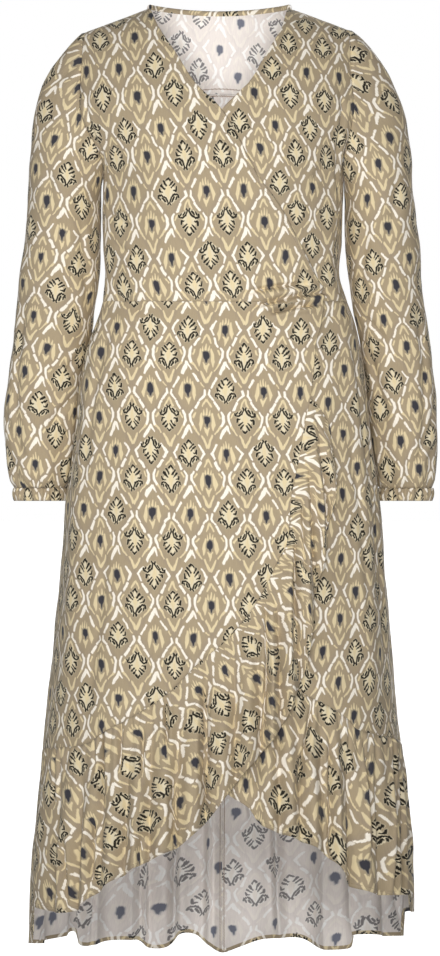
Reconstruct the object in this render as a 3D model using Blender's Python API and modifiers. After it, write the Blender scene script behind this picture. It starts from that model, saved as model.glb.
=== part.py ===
"""Wrap dress with a V neck, long gathered sleeves and a flounced hem that dips at the back.

Metres, +Z up. The wearer faces -Y, so the wearer's right side is at -X. The origin is midway
between the neck ends of the two shoulder seams, where the dress hangs from the wearer.
Every panel is a sheet of one cloth. It is laid out on a hollow figure form by two form
coordinates: the angle round the body (0 at centre front, +90 degrees at the wearer's left side)
and the level, which is the height up to the underarm and, above it, the way up to the shoulder.
"""

import bpy
import numpy as np

MM = 0.001

# The cloth
CLOTH = 1.5 * MM  # thickness of every wall
SEAM_GAP = 0.7 * MM  # between two pieces that are sewn together
WRAP_LIFT = 3.6 * MM  # how far the right front lies outside the left front
RUFFLE_LIFT = 7 * MM  # how far the ruffle's free edge stands off the skirt below it
UNDER_DIP = 4 * MM  # how far the left flounce keeps in where the right one covers it
BACK_SWING = 4 * MM  # how far the middle of the back flounce swings out
LIFT_DROP = 60 * MM  # below a flounce's seam, where these lifts are whole
SHARPEST_CORNER = 0.12  # sine of the least angle at which a trimmed edge is drawn in squarely

# The levels of the body
UNDERARM = -237 * MM
WAIST = -412 * MM
YOKE_SEAM = -166 * MM
CUFF_TOP = -672 * MM

# The shoulders
NECK_HALF = 100 * MM  # from the origin to the neck end of a shoulder seam
SHOULDER_SLOPE = 0.38
SHOULDER_GAIN = 36 * MM  # how much wider the form is at the shoulders than at the underarm
SHOULDER_SHIFT = -9 * MM  # the shoulders sit this far sideways of the bust
BINDING_WIDTH = 4 * MM  # of the bound back neck edge
BINDING_GAP = 0.9 * MM
NECK_ROUND = 30 * MM  # rounds the form between the two shoulder slopes
NECK_DIP = 8 * MM  # of the back neck edge
FULLNESS = 0.22  # how much squarer than an ellipse a body section is
WIDENING_SHARE = 0.35  # of the way up to the shoulder, over which the form widens
CHEST_CURVE = 1.2  # how soon the chest draws in to the shoulder line
BACK_CURVE = 0.8
MEAN_RADIUS = 170 * MM  # of the body, to turn an angle into a length

# Sections of the body: height, right edge, left edge, front depth, back depth (mm)
BODY = (
    (-1330, -263, 270, 190, 200),
    (-1215, -259, 266, 184, 192),
    (-1107, -252, 260, 176, 182),
    (-1037, -247, 255, 170, 175),
    (-976, -241, 248, 165, 168),
    (-896, -233, 241, 157, 160),
    (-798, -223, 232, 149, 150),
    (-687, -214, 224, 139, 141),
    (-595, -201, 211, 130, 134),
    (-535, -195, 206, 125, 130),
    (-496, -189, 201, 121, 126),
    (-444, -173, 189, 113, 114),
    (-412, -163, 178, 108, 104),
    (-376, -160, 168, 110, 99),
    (-339, -162, 170, 116, 99),
    (-290, -163, 172, 124, 103),
    (-237, -163, 173, 128, 106),
)

# The armhole: way up from underarm to shoulder (0 to 1), angle from the centre (degrees)
ARMHOLE = ((0, 90), (0.04, 81), (0.11, 73.5), (0.25, 68.5), (0.45, 67), (0.72, 66), (1, 63))

# Waist seam of the right front, which the wrap's end pulls up: angle (degrees), z (mm)
WRAP_WAIST = ((-90, -412), (10, -413), (19, -418), (32, -416), (42, -409), (53, -401))
# Where the right front lifts off the left one: angle from which it does, and the angles and the
# way down from the shoulder over which the lift grows
WRAP_START = -84
WRAP_FADE = 30
WRAP_SHOULDER = 70 * MM
# Free edge of the right front bodice, from the waist to the neck: x, z (mm)
RIGHT_EDGE = (
    (142, -401),
    (131, -375),
    (108, -325),
    (83, -279),
    (29, -190),
    (3, -146),
    (-30, -113),
    (-54, -77),
    (-86, -27),
    (-100, 0),
)
# Free edge of the left front bodice, which lies below, from the waist to the neck: x, z (mm)
LEFT_EDGE = (
    (-137, -412),
    (-103, -325),
    (-78, -279),
    (-24, -190),
    (3, -146),
    (26, -122),
    (48, -97),
    (79, -43),
    (89, -22),
    (98, 0),
)
# Free edge of the right front skirt, from the waist to the top of the ruffle: x, z (mm)
SKIRT_EDGE = ((142, -401), (140, -444), (133, -469), (129, -517), (125, -549))
# Seam between the right front skirt and its flounce, from the side seam: x, z (mm)
RIGHT_SEAM = (
    (-247, -1037),
    (-194, -1030),
    (-155, -1009),
    (-111, -984),
    (-69, -955),
    (-27, -913),
    (8, -885),
    (51, -832),
    (79, -777),
    (94, -745),
    (99, -686),
    (111, -624),
    (118, -580),
    (125, -549),
)
# Seam between the left front skirt and its flounce, from the hidden free edge: x, z (mm)
LEFT_SEAM = (
    (-60, -850),
    (-10, -880),
    (50, -915),
    (113, -955),
    (158, -979),
    (181, -995),
    (201, -1011),
    (254, -1028),
)
# Lower edge of the right flounce: the hem from the side seam to the front point, then the
# free edge up to the widest part of the ruffle: x, z (mm)
RIGHT_HEM = (
    (-260, -1247),
    (-225, -1262),
    (-194, -1257),
    (-159, -1227),
    (-104, -1193),
    (-51, -1166),
    (-12, -1128),
    (10, -1099),
    (34, -1067),
    (54, -1044),
    (86, -1000),
    (103, -959),
    (115, -927),
    (122, -876),
    (128, -827),
    (136, -783),
    (152, -686),
    (153, -640),
)
# Upper edge of the ruffle, from its tip to its widest part: x, z (mm)
RUFFLE_TOP = ((125, -549), (136, -558), (145, -573), (152, -590), (153, -620))
# Hem of the left flounce, from the hidden free edge: x, z (mm)
LEFT_HEM = (
    (-60, -1020),
    (-27, -1060),
    (10, -1095),
    (40, -1115),
    (61, -1141),
    (111, -1161),
    (138, -1175),
    (153, -1187),
    (167, -1204),
    (177, -1221),
    (197, -1231),
    (223, -1238),
    (266, -1240),
)
# Hem of the back: angle (degrees), z (mm)
BACK_HEM = (
    (90, -1240),
    (97, -1260),
    (108, -1263),
    (115, -1294),
    (134, -1296),
    (141, -1318),
    (148, -1319),
    (157, -1303),
    (166, -1300),
    (172, -1310),
    (180, -1323),
    (189, -1295),
    (195, -1303),
    (200, -1318),
    (206, -1303),
    (215, -1305),
    (224, -1310),
    (230, -1289),
    (242, -1298),
    (255, -1303),
    (265, -1292),
    (270, -1247),
)
BACK_SEAM = ((90, -1028), (180, -1062), (270, -1037))  # angle (degrees), z (mm)

HIDDEN_START = -100 * MM  # the left skirt's free edge at the waist, under the wrap
LAP_ANGLE = 30  # the right skirt covers the left one as far as here (degrees)
LAP_FADE = 16
COVERED_ANGLE = 6  # and the right flounce covers the left one as far as here
COVERED_FADE = 14
RUFFLE_ANGLE = -6  # from here on the right flounce stands off as a ruffle
RUFFLE_FADE = 16

# Where the flounces draw in to their seams (degrees)
RIGHT_VALLEYS = (-90, -61, -49, -40, -31, -23, -14, -5, 4.2, 12, 19, 26, 33, 39, 46)
LEFT_VALLEYS = (-13, 1, 10, 18, 25, 33, 43, 56, 71, 90)
RIGHT_CLIMB = 12  # from here the right seam climbs up the wrap (degrees)
BACK_VALLEYS = (90, 107, 121, 134, 147, 162, 180, 195, 209, 222, 236, 252, 270)
WAVE_STEPS = 4  # columns of a wave
FLOUNCE_ROWS = 6
WAVE_DEPTH = 12 * MM  # of the largest wave, at the hem
WAVE_DROP = 170 * MM  # below the seam, where a wave has its whole depth
SIDE_WAVE = 0.35  # share of that depth left at a side seam
SIDE_ROUND = 0.7  # how late that share is reached on the way to the side

# Sections of the sleeves: height, right outer, right inner, left outer, left inner,
# set back, half depth (mm)
SLEEVE = (
    (-672, -288, -212, 299, 225, 58, 31),
    (-655, -293, -207, 301, 220, 58, 37),
    (-627, -299, -199, 304, 213, 59, 41),
    (-580, -303, -193, 305, 207, 60, 43),
    (-507, -296, -187, 300, 201, 56, 45),
    (-440, -286, -177, 291, 192, 44, 48),
    (-382, -281, -170, 284, 182, 30, 51),
    (-319, -273, -166.5, 279, 176, 18, 55),
    (-262, -268, -166.5, 272, 175.5, 10, 58),
)
CUFF = (-690, -287, -212, 297, 226, 58, 29)
SLEEVE_COLUMNS = 36
SLEEVE_HEIGHTS = (-672, -660, -645, -625, -600, -565, -520, -475, -430, -385, -340, -300, -262)
HEAD_SHARES = (0.82, 0.64, 0.46, 0.3, 0.15, 0.0)  # rings of the head, from its end to the seam
SLEEVE_WAVES = 9  # gathers round a cuff, and round a sleeve head
CUFF_GATHER = 4 * MM
HEAD_GATHER = 3 * MM
HEAD_ANGLE_TOP = 36  # below level, how the sleeve leaves the shoulder (degrees)
HEAD_ANGLE_UNDER = 76  # and the underarm
UNDER_SHARE = 1.6  # how soon the angle below level changes from the one to the other
HEAD_REACH = 0.4  # of the head's length, how far each end keeps its direction
HEAD_LEAN = 0.06  # how far the tube leans outwards where the head meets it
SLEEVE_START_TOP = 1.1 * MM  # clearance of the sleeve's first ring from the armhole
SLEEVE_START_UNDER = 2.7 * MM
CUFF_GATHER_RISE = 12 * MM  # above the cuff, where its gathers are deepest
CUFF_GATHER_END = 110 * MM  # and where they have run out

# Soft folds of the worn cloth: first angle, first height, second angle, second height,
# half width, rise (degrees and mm)
FOLDS = (
    (66, -440, 60, -900, 26, 5),
    (-70, -450, -62, -880, 30, 5),
    (-30, -640, -38, -980, 34, 4),
    (8, -560, 4, -820, 34, 3.5),
    (70, -170, 62, -380, 22, 5),
    (-66, -200, -72, -390, 22, 4.5),
    (-34, -240, -20, -385, 26, 3),
    (150, -440, 146, -1000, 34, 6),
    (205, -450, 214, -1000, 34, 6),
    (240, -470, 246, -960, 30, 5),
    (118, -470, 112, -960, 30, 5),
    (150, -190, 165, -400, 28, 4),
    (208, -190, 196, -400, 28, 4),
)
# Tucks that fan out from the wrap's end at the waist, in the bodice and in the skirt
TUCKS = (
    (52, -392, 16, -397, 6, 3.2),
    (52, -402, 20, -406, 5, 2.6),
    (52, -424, 22, -423, 6, 3.2),
)

# Rows and columns of the panels
PATH_STEPS = 12  # of a route, between two of its points
FRONT_LEVELS = UNDERARM - (UNDERARM - WAIST) * np.array([1, 0.93, 0.86, 0.78, 0.6, 0.4, 0.2, 0])
ARM_LEVELS = UNDERARM * np.array([0.93, 0.84, 0.7, 0.56, 0.42, 0.28, 0.14, 0])
SIDE_LEVELS = np.concatenate([FRONT_LEVELS, ARM_LEVELS])
FREE_SHARES = (0, 0.025, 0.05, 0.08, 0.16, 0.24, 0.32, 0.4, 0.46, 0.53, 0.6, 0.68, 0.76, 0.84, 0.92, 1)
YOKE_LEVELS = np.linspace(YOKE_SEAM, 0, 6)
BACK_LEVELS = np.concatenate([np.linspace(WAIST, UNDERARM, 6), np.linspace(UNDERARM, YOKE_SEAM, 4)[1:]])
BACK_COLUMNS = 15
SHOULDER_COLUMNS = 4  # of those, along each shoulder seam
LEFT_COLUMNS = 13
SKIRT_SHARES = np.array([0, 0.02, 0.04, 0.07, *np.linspace(0.12, 1, 12)])  # rows below the waist
LEFT_SKIRT_NET = (13, 15)  # rows, columns
BACK_SKIRT_NET = (13, 10)

RIDGE_ENDS = 4  # a fold runs out over a quarter of its length
CREAM_PRINT = (0.50, 0.43, 0.31)


def smoothstep(share):
    """An even rise from 0 to 1 that is level at both ends."""
    share = np.clip(share, 0.0, 1.0)
    return share * share * (3 - 2 * share)


def smooth_lookup(at, keys, values):
    """Reads a table at any place between its rows, along one smooth curve."""
    keys = np.asarray(keys, float)
    values = np.asarray(values, float)
    slopes = np.gradient(values, keys)
    at = np.clip(at, keys[0], keys[-1])
    row = np.clip(np.searchsorted(keys, at) - 1, 0, len(keys) - 2)
    span = keys[row + 1] - keys[row]
    t = (at - keys[row]) / span
    start = values[row] * (1 + 2 * t) + span * slopes[row] * t
    end = values[row + 1] * (3 - 2 * t) + span * slopes[row + 1] * (t - 1)
    return start * (1 - t) ** 2 + end * t**2


def body_section(height):
    """Centre, half width, front depth and back depth of the body at a height."""
    table = np.array(BODY) * MM
    right, left, front, back = (smooth_lookup(height, table[:, 0], table[:, n]) for n in range(1, 5))
    return (right + left) / 2, (left - right) / 2, front, back


def shoulder_height(x):
    """Height of the shoulder line above a place across the body."""
    return SHOULDER_SLOPE * (NECK_HALF - np.sqrt(x * x + NECK_ROUND**2))


def form_width(level):
    """Centre and half width of the form at a level."""
    centre, half, _, _ = body_section(np.minimum(level, UNDERARM))
    widening = smoothstep((1 - level / UNDERARM) / WIDENING_SHARE)
    return centre + SHOULDER_SHIFT * widening, half + SHOULDER_GAIN * widening


def form_point(angle, level):
    """Points of the figure form at form coordinates (radians, metres)."""
    rise = np.clip(1 - level / UNDERARM, 0, 1) * np.pi / 2
    below = np.minimum(level, UNDERARM)
    _, _, front, back = body_section(below)
    centre, half = form_width(level)
    x = centre + half * np.sin(angle)
    forward = np.cos(angle)
    inward = np.cos(rise)
    depth = np.where(forward > 0, front * inward**CHEST_CURVE, back * inward**BACK_CURVE)
    y = -depth * forward * (1 + FULLNESS * np.sin(angle) ** 2)
    z = below + (shoulder_height(x) - UNDERARM) * np.sin(rise)
    return np.stack(np.broadcast_arrays(x, y, z), axis=-1)


def form_normal(angle, level):
    """Outward directions of the form."""
    across = form_point(angle + MM, level) - form_point(angle - MM, level)
    along = form_point(angle, np.minimum(level + MM, 0)) - form_point(angle, level - MM)
    normal = np.cross(across, along)
    return normal / np.linalg.norm(normal, axis=-1, keepdims=True)


def on_form(x, z, behind=False):
    """Form coordinates of a place seen from the front, or of the place behind it."""
    level = np.asarray(z, float)
    share = np.clip((level - UNDERARM) / (shoulder_height(x) - UNDERARM), 0, 1)
    level = np.where(level > UNDERARM, UNDERARM * (1 - np.arcsin(share) * 2 / np.pi), level)
    centre, half = form_width(level)
    angle = np.arcsin(np.clip((x - centre) / half, -1, 1))
    return np.stack([np.pi - angle if behind else angle, level], axis=-1)


def path(points):
    """A finely divided route through points of form coordinates."""
    points = np.asarray(points, float)
    keys = np.arange(len(points))
    fine = np.linspace(0, len(points) - 1, PATH_STEPS * (len(points) - 1) + 1)
    return np.stack([smooth_lookup(fine, keys, points[:, n]) for n in (0, 1)], axis=-1)


def front_path(table):
    """A route through a table of x, z (mm), seen from the front."""
    table = np.array(table) * MM
    return path(on_form(table[:, 0], table[:, 1]))


def round_path(table):
    """A route through a table of angle (degrees), z (mm)."""
    return path(np.array(table) * (np.pi / 180, MM))


def at_shares(route, shares):
    """Points of a route at shares of its length in the cloth."""
    steps = np.diff(route, axis=0) * (MEAN_RADIUS, 1)
    length = np.concatenate([[0], np.cumsum(np.linalg.norm(steps, axis=1))])
    return np.stack([np.interp(shares, length / length[-1], route[:, n]) for n in (0, 1)], axis=-1)


def at_angles(route, angles):
    """Points of a route at given angles round the body."""
    return np.stack([angles, np.interp(angles, route[:, 0], route[:, 1])], axis=-1)


def spread(bottom, top, left, right):
    """A net of form coordinates between four edges, each a list of points."""
    s = np.linspace(0, 1, len(bottom))[None, :, None]
    t = np.linspace(0, 1, len(left))[:, None, None]
    across = left[:, None] * (1 - s) + right[:, None] * s
    upward = bottom[None] * (1 - t) + top[None] * t
    corners = (bottom[0] * (1 - s) + bottom[-1] * s) * (1 - t) + (top[0] * (1 - s) + top[-1] * s) * t
    return across + upward - corners


def ridge_rise(net, folds):
    """How far soft ridges lift the cloth at a net of form coordinates."""
    radius = form_width(net[..., 1])[1]
    rise = np.zeros(net.shape[:-1])
    for angle_a, height_a, angle_b, height_b, width, lift in folds:
        start = np.array([np.radians(angle_a), height_a * MM])
        run = np.array([np.radians(angle_b), height_b * MM]) - start
        offset = (net - start) * np.stack([radius, np.ones_like(radius)], axis=-1)
        run = run[None, None] * np.stack([radius, np.ones_like(radius)], axis=-1)
        length = np.linalg.norm(run, axis=-1)
        share = (offset * run).sum(axis=-1) / length**2
        aside = np.abs(offset[..., 0] * run[..., 1] - offset[..., 1] * run[..., 0]) / length
        fade = smoothstep(share * RIDGE_ENDS + 1) * smoothstep((1 - share) * RIDGE_ENDS + 1)
        rise += lift * MM * fade * np.exp(-((aside / (width * MM)) ** 2))
    return rise


def waves(angles, valleys):
    """Gathers of a flounce: 0 where it is drawn in, 1 at the crest of each wave."""
    number = np.interp(angles, np.radians(valleys), np.arange(len(valleys)))
    return np.sin(np.pi * number) ** 2


def lay(net, lift):
    """Points of the cloth over the form, at a lift outwards."""
    angle, level = net[..., 0], net[..., 1]
    return form_point(angle, level) + form_normal(angle, level) * np.asarray(lift)[..., None]


def trim(points, edges, gap=SEAM_GAP / 2):
    """Draws sewn edges in by half a seam gap: b(ottom), t(op), l(eft), r(ight)."""
    points = points.copy()
    views = {"b": points, "t": points[::-1], "l": points.swapaxes(0, 1)}
    views["r"] = views["l"][::-1]
    for edge in edges:
        rows = views[edge]
        inward = rows[1] - rows[0]
        inward /= np.linalg.norm(inward, axis=-1, keepdims=True)
        along = np.gradient(rows[0], axis=0)
        along /= np.linalg.norm(along, axis=-1, keepdims=True)
        square = np.linalg.norm(np.cross(inward, along), axis=-1, keepdims=True)
        rows[0] += gap * inward / np.maximum(square, SHARPEST_CORNER)
    return points


def cloth(name, points, colour=CREAM_PRINT, closed=False):
    """One piece of cloth: a sheet through a grid of points, given its thickness."""
    rows, columns = points.shape[:2]
    numbers = np.arange(rows * columns).reshape(rows, columns)
    if closed:
        numbers = np.concatenate([numbers, numbers[:, :1]], axis=1)
    corners = (numbers[:-1, :-1], numbers[:-1, 1:], numbers[1:, 1:], numbers[1:, :-1])
    faces = np.stack([c.ravel() for c in corners], axis=-1)
    mesh = bpy.data.meshes.new(name)
    mesh.from_pydata(points.reshape(-1, 3).tolist(), [], faces.tolist())
    mesh.shade_smooth()
    mesh.materials.append(printed_cloth(name, colour))
    piece = bpy.data.objects.new(name, mesh)
    bpy.data.collections["wrap_dress"].objects.link(piece)
    wall = piece.modifiers.new("cloth thickness", "SOLIDIFY")
    wall.thickness = CLOTH
    wall.offset = 0
    return piece


def printed_cloth(name, colour):
    """A soft matt finish of the piece's own."""
    material = bpy.data.materials.new(name + "_cloth")
    material.use_nodes = True
    shader = material.node_tree.nodes["Principled BSDF"]
    shader.inputs["Base Color"].default_value = (*colour, 1)
    shader.inputs["Roughness"].default_value = 0.8
    shader.inputs["Metallic"].default_value = 0
    return material


def armhole(side, behind, levels):
    """Form coordinates of an armhole at levels. side is -1 for the right, 1 for the left."""
    table = np.array(ARMHOLE)
    angle = np.radians(np.interp(1 - levels / UNDERARM, table[:, 0], table[:, 1]))
    angle = np.where(levels < UNDERARM, np.pi / 2, angle) * side
    return np.stack([np.pi - angle if behind else angle, levels], axis=-1)


def wrap_over(net):
    """How far the right front lies outside the left front: nothing at its side and shoulder."""
    angle, level = net[..., 0], net[..., 1]
    from_side = smoothstep((np.degrees(angle) - WRAP_START) / WRAP_FADE)
    from_shoulder = smoothstep(-level / WRAP_SHOULDER)
    return WRAP_LIFT * from_side * from_shoulder


def flat(net):
    """A piece that lies directly on the form."""
    return np.zeros(net.shape[:-1])


def wrap_waist(columns):
    """The waist seam that the right front's bodice and skirt share."""
    route = round_path(WRAP_WAIST)
    free_end = front_path(RIGHT_EDGE)[0, 0]
    return at_angles(route, np.linspace(-np.pi / 2, free_end, columns))


def front_net(side, edge, waist):
    """A crossed front: waist seam below, side seam and armhole outside, free edge inside."""
    outer = armhole(side, False, SIDE_LEVELS)
    inner = at_shares(front_path(edge), FREE_SHARES)
    shoulder = np.linspace(outer[-1], inner[-1], len(waist))
    return spread(waist, shoulder, outer, inner)


def bodice_front_right():
    """The right front, on top, with the tucks at the wrap's end."""
    net = front_net(-1, RIGHT_EDGE, wrap_waist(len(right_seam_line())))
    lift = wrap_over(net) + ridge_rise(net, FOLDS) + ridge_rise(net, TUCKS)
    cloth("bodice_front_right", trim(lay(net, lift), "btl"))


def bodice_front_left():
    """The left front, below."""
    waist = np.linspace((np.pi / 2, WAIST), front_path(LEFT_EDGE)[0], LEFT_COLUMNS)
    net = front_net(1, LEFT_EDGE, waist)
    points = trim(lay(net, ridge_rise(net, FOLDS)), "btl")
    cloth("bodice_front_left", points[:, ::-1])


def back_neck_edge():
    """The back neck edge, from the left shoulder seam to the right one."""
    columns = BACK_COLUMNS - 2 * (SHOULDER_COLUMNS - 1)
    x = np.linspace(NECK_HALF, -NECK_HALF, columns)
    z = -NECK_DIP * (1 - (x / NECK_HALF) ** 2)
    return on_form(x, z, behind=True)


def back_yoke():
    """The yoke over the shoulder blades, with the back neck edge cut into its top."""
    left, right = (armhole(side, True, YOKE_LEVELS) for side in (1, -1))
    neck = back_neck_edge()
    left_shoulder = np.linspace(left[-1], neck[0], SHOULDER_COLUMNS)
    right_shoulder = np.linspace(neck[-1], right[-1], SHOULDER_COLUMNS)
    top = np.concatenate([left_shoulder[:-1], neck, right_shoulder[1:]])
    seam = np.linspace(left[0], right[0], BACK_COLUMNS)
    net = spread(seam, top, left, right)
    cloth("back_yoke", trim(lay(net, flat(net)), "blrt"))


def neck_binding():
    """The narrow bound edge that stands on the back neck edge."""
    edge = back_neck_edge()
    upward = np.array([0, 0, 1])
    foot = lay(edge, flat(edge)) + upward * BINDING_GAP
    head = foot + upward * BINDING_WIDTH
    cloth("neck_binding", np.stack([foot, head]))


def bodice_back():
    """The back below the yoke."""
    left, right = (armhole(side, True, BACK_LEVELS) for side in (1, -1))
    waist = np.linspace(left[0], right[0], BACK_COLUMNS)
    seam = np.linspace(left[-1], right[-1], BACK_COLUMNS)
    net = spread(waist, seam, left, right)
    cloth("bodice_back", trim(lay(net, ridge_rise(net, FOLDS)), "btlr"))


def wave_angles(valleys):
    """The columns of a flounce, so that each wave has the same number of them."""
    count = (len(valleys) - 1) * WAVE_STEPS + 1
    return np.radians(np.interp(np.linspace(0, len(valleys) - 1, count), range(len(valleys)), valleys))


def right_seam_line():
    """The corners of the seam that the right skirt and its flounce share, closer where it climbs."""
    route = front_path(RIGHT_SEAM)
    angles = wave_angles(RIGHT_VALLEYS)
    climb = np.radians(RIGHT_CLIMB)
    flat = angles[angles < climb][::3]
    steep = angles[(angles >= climb) & (angles < route[-1, 0] - 0.01)]
    return at_angles(route, np.concatenate([flat, steep, route[-1:, 0]]))


def skirt_front_right():
    """The skirt's top layer, from the right side seam to the wrap's free edge."""
    seam = right_seam_line()
    free = at_shares(front_path(SKIRT_EDGE), SKIRT_SHARES)
    drop = (seam[0, 1] - WAIST) * SKIRT_SHARES
    side = np.stack([np.full(len(drop), -np.pi / 2), WAIST + drop], axis=-1)
    net = spread(seam, wrap_waist(len(seam)), side[::-1], free[::-1])
    lift = wrap_over(net) + ridge_rise(net, FOLDS) + ridge_rise(net, TUCKS)
    cloth("skirt_front_right", trim(lay(net, lift), "btl"))


def left_seam_line():
    """The corners of the seam between the left skirt and its flounce."""
    return at_shares(front_path(LEFT_SEAM), np.linspace(0, 1, LEFT_SKIRT_NET[1]))


def skirt_front_left():
    """The skirt's lower layer, from its free edge under the wrap to the left side seam."""
    rows, columns = LEFT_SKIRT_NET
    seam = left_seam_line()
    start = on_form(HIDDEN_START, WAIST)
    free = np.linspace(seam[0], start, rows)
    side = np.linspace((np.pi / 2, seam[-1, 1]), (np.pi / 2, WAIST), rows)
    waist = np.linspace(start, side[-1], columns)
    net = spread(seam, waist, free, side)
    shown = smoothstep((np.degrees(net[..., 0]) - LAP_ANGLE) / LAP_FADE)
    lift = ridge_rise(net, FOLDS) * shown
    cloth("skirt_front_left", trim(lay(net, lift), "btr"))


def skirt_back(name, start, end):
    """Half of the skirt's back, from the left side seam to the centre seam or on from there."""
    rows, columns = BACK_SKIRT_NET
    angles = np.radians(np.linspace(start, end, columns))
    seam = at_angles(round_path(BACK_SEAM), angles)
    waist = np.stack([angles, np.full(columns, WAIST)], axis=-1)
    net = spread(seam, waist, np.linspace(seam[0], waist[0], rows), np.linspace(seam[-1], waist[-1], rows))
    cloth(name, trim(lay(net, ridge_rise(net, FOLDS)), "btlr"))


def under_wrap(net):
    """The part of the left flounce that the right one covers."""
    return 1 - smoothstep((np.degrees(net[..., 0]) - COVERED_ANGLE) / COVERED_FADE)


def flounce(name, upper, lower, valleys, lift, sewn, covered=flat, corners=()):
    """A gathered flounce that hangs from a seam, one column of waves from valley to valley."""
    angles = np.union1d(wave_angles(valleys), corners)
    bottom, top = at_angles(lower, angles), at_angles(upper, angles)
    down = np.linspace(1, 0, FLOUNCE_ROWS)[:, None]
    net = top + (bottom - top) * down[..., None]
    drop = (top[:, 1] - bottom[:, 1])[None] * down
    growth = smoothstep(drop / WAVE_DROP)
    from_side = SIDE_WAVE + (1 - SIDE_WAVE) * np.abs(np.cos(net[..., 0])) ** SIDE_ROUND
    depth = WAVE_DEPTH * growth * from_side * waves(net[..., 0], valleys) * (1 - covered(net))
    cloth(name, trim(lay(net, depth + lift(net, drop)), sewn))


def ruffle_lift(net, drop):
    """The right flounce lies over the left front and its ruffle stands off it."""
    over = smoothstep((np.degrees(net[..., 0]) - RUFFLE_ANGLE) / RUFFLE_FADE)
    return wrap_over(net) + RUFFLE_LIFT * over * smoothstep(drop / LIFT_DROP)


def under_lift(net, drop):
    """The left flounce keeps in where the right one covers it."""
    return -UNDER_DIP * under_wrap(net) * smoothstep(drop / LIFT_DROP)


def back_lift(net, drop):
    """The back flounce swings outwards a little at its middle."""
    return BACK_SWING * smoothstep(drop / WAVE_DROP) * np.abs(np.cos(net[..., 0]))


def flounces():
    """The four flounces of the hem; the right front one runs on up the wrap as the ruffle."""
    seam, hem = right_seam_line(), front_path(RIGHT_HEM)
    upper = np.concatenate([seam, front_path(RUFFLE_TOP)[1:]])
    tip = seam[-1:, 0]
    flounce("flounce_front_right", upper, hem, RIGHT_VALLEYS, ruffle_lift, "tl", corners=tip)
    flounce("flounce_front_left", left_seam_line(), front_path(LEFT_HEM), LEFT_VALLEYS, under_lift, "tr", under_wrap)
    seam, hem = round_path(BACK_SEAM), round_path(BACK_HEM)
    half = BACK_VALLEYS.index(180)
    flounce("flounce_back_left", seam, hem, BACK_VALLEYS[: half + 1], back_lift, "tlr")
    flounce("flounce_back_right", seam, hem, BACK_VALLEYS[half:], back_lift, "tlr")


def sleeve_ring(side, row):
    """One level ring of a sleeve, from its outer side round by the front."""
    height, right_outer, right_inner, left_outer, left_inner, back, half_depth = np.array(row) * MM
    outer, inner = (right_outer, right_inner) if side < 0 else (left_outer, left_inner)
    turn = 2 * np.pi * np.arange(SLEEVE_COLUMNS) / SLEEVE_COLUMNS
    x = (outer + inner) / 2 + (outer - inner) / 2 * np.cos(turn)
    y = back - half_depth * np.sin(turn)
    return np.stack([x, y, np.full(SLEEVE_COLUMNS, height)], axis=-1)


def armhole_ring(side):
    """The armhole's seam line, from the shoulder down its front and up its back."""
    front = lay(armhole(side, False, SIDE_LEVELS[7:][::-1]), np.zeros(9))
    back_levels = np.concatenate([BACK_LEVELS[5:-1], YOKE_LEVELS])
    back = lay(armhole(side, True, back_levels), np.zeros(len(back_levels)))
    ring = []
    half = SLEEVE_COLUMNS // 2
    for line in (front, back):
        length = np.concatenate([[0], np.cumsum(np.linalg.norm(np.diff(line, axis=0), axis=1))])
        places = np.linspace(0, length[-1], half + 1)[:-1]
        ring.append(np.stack([np.interp(places, length, line[:, n]) for n in range(3)], axis=-1))
    return np.concatenate(ring)


def sleeve_tube(side):
    """The rings of a sleeve from the cuff up to its head."""
    table = np.array(SLEEVE)
    rings = []
    for height in SLEEVE_HEIGHTS:
        row = [smooth_lookup(height, table[:, 0], table[:, n]) for n in range(1, 7)]
        rings.append(sleeve_ring(side, [height, *row]))
    return rings


def sleeve_head(side, end):
    """The rings that curve from the top of the tube to the armhole."""
    turn = 2 * np.pi * np.arange(SLEEVE_COLUMNS) / SLEEVE_COLUMNS
    under = (1 - np.cos(turn)) / 2
    start = armhole_ring(side)
    clearance = SLEEVE_START_TOP + (SLEEVE_START_UNDER - SLEEVE_START_TOP) * smoothstep(under * 2)
    start[:, 0] += side * clearance
    steepness = smoothstep(under * UNDER_SHARE)
    dive = np.radians(HEAD_ANGLE_TOP + (HEAD_ANGLE_UNDER - HEAD_ANGLE_TOP) * steepness)
    leave = np.stack([side * np.cos(dive), np.zeros_like(dive), -np.sin(dive)], axis=-1)
    arrive = np.array([side * HEAD_LEAN, 0, -1])
    reach = HEAD_REACH * np.linalg.norm(end - start, axis=-1, keepdims=True)
    from_start, from_end = start + leave * reach, end - arrive * reach
    rings = []
    for t in HEAD_SHARES:
        near_start = start * (1 - t) ** 3 + from_start * 3 * t * (1 - t) ** 2
        near_end = from_end * 3 * t**2 * (1 - t) + end * t**3
        rings.append(near_start + near_end)
    return rings


def sleeve(name, side):
    """A long sleeve: a shaped head set into the armhole, then a tube gathered at the cuff."""
    rings = sleeve_tube(side)
    points = np.stack(rings + sleeve_head(side, rings[-1]))
    outward = points - points.mean(axis=1, keepdims=True)
    outward /= np.linalg.norm(outward, axis=-1, keepdims=True)
    turn = 2 * np.pi * np.arange(SLEEVE_COLUMNS) / SLEEVE_COLUMNS
    gather = np.sin(SLEEVE_WAVES * turn / 2) ** 2
    above_cuff = points[..., 2] - CUFF_TOP
    near_cuff = smoothstep(above_cuff / CUFF_GATHER_RISE) * (1 - smoothstep(above_cuff / CUFF_GATHER_END))
    head_rows = len(HEAD_SHARES)
    below_seam = 1 - np.arange(1, head_rows + 1)[:, None] / head_rows
    head = np.zeros(points.shape[:2])
    head[-head_rows:] = np.sin(np.pi * np.sqrt(below_seam)) * smoothstep(np.cos(turn) * 2)
    depth = gather * (near_cuff * CUFF_GATHER + head * HEAD_GATHER)
    points = trim(points + outward * depth[..., None], "b")
    cloth(name, points if side < 0 else points[:, ::-1], closed=True)


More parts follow.
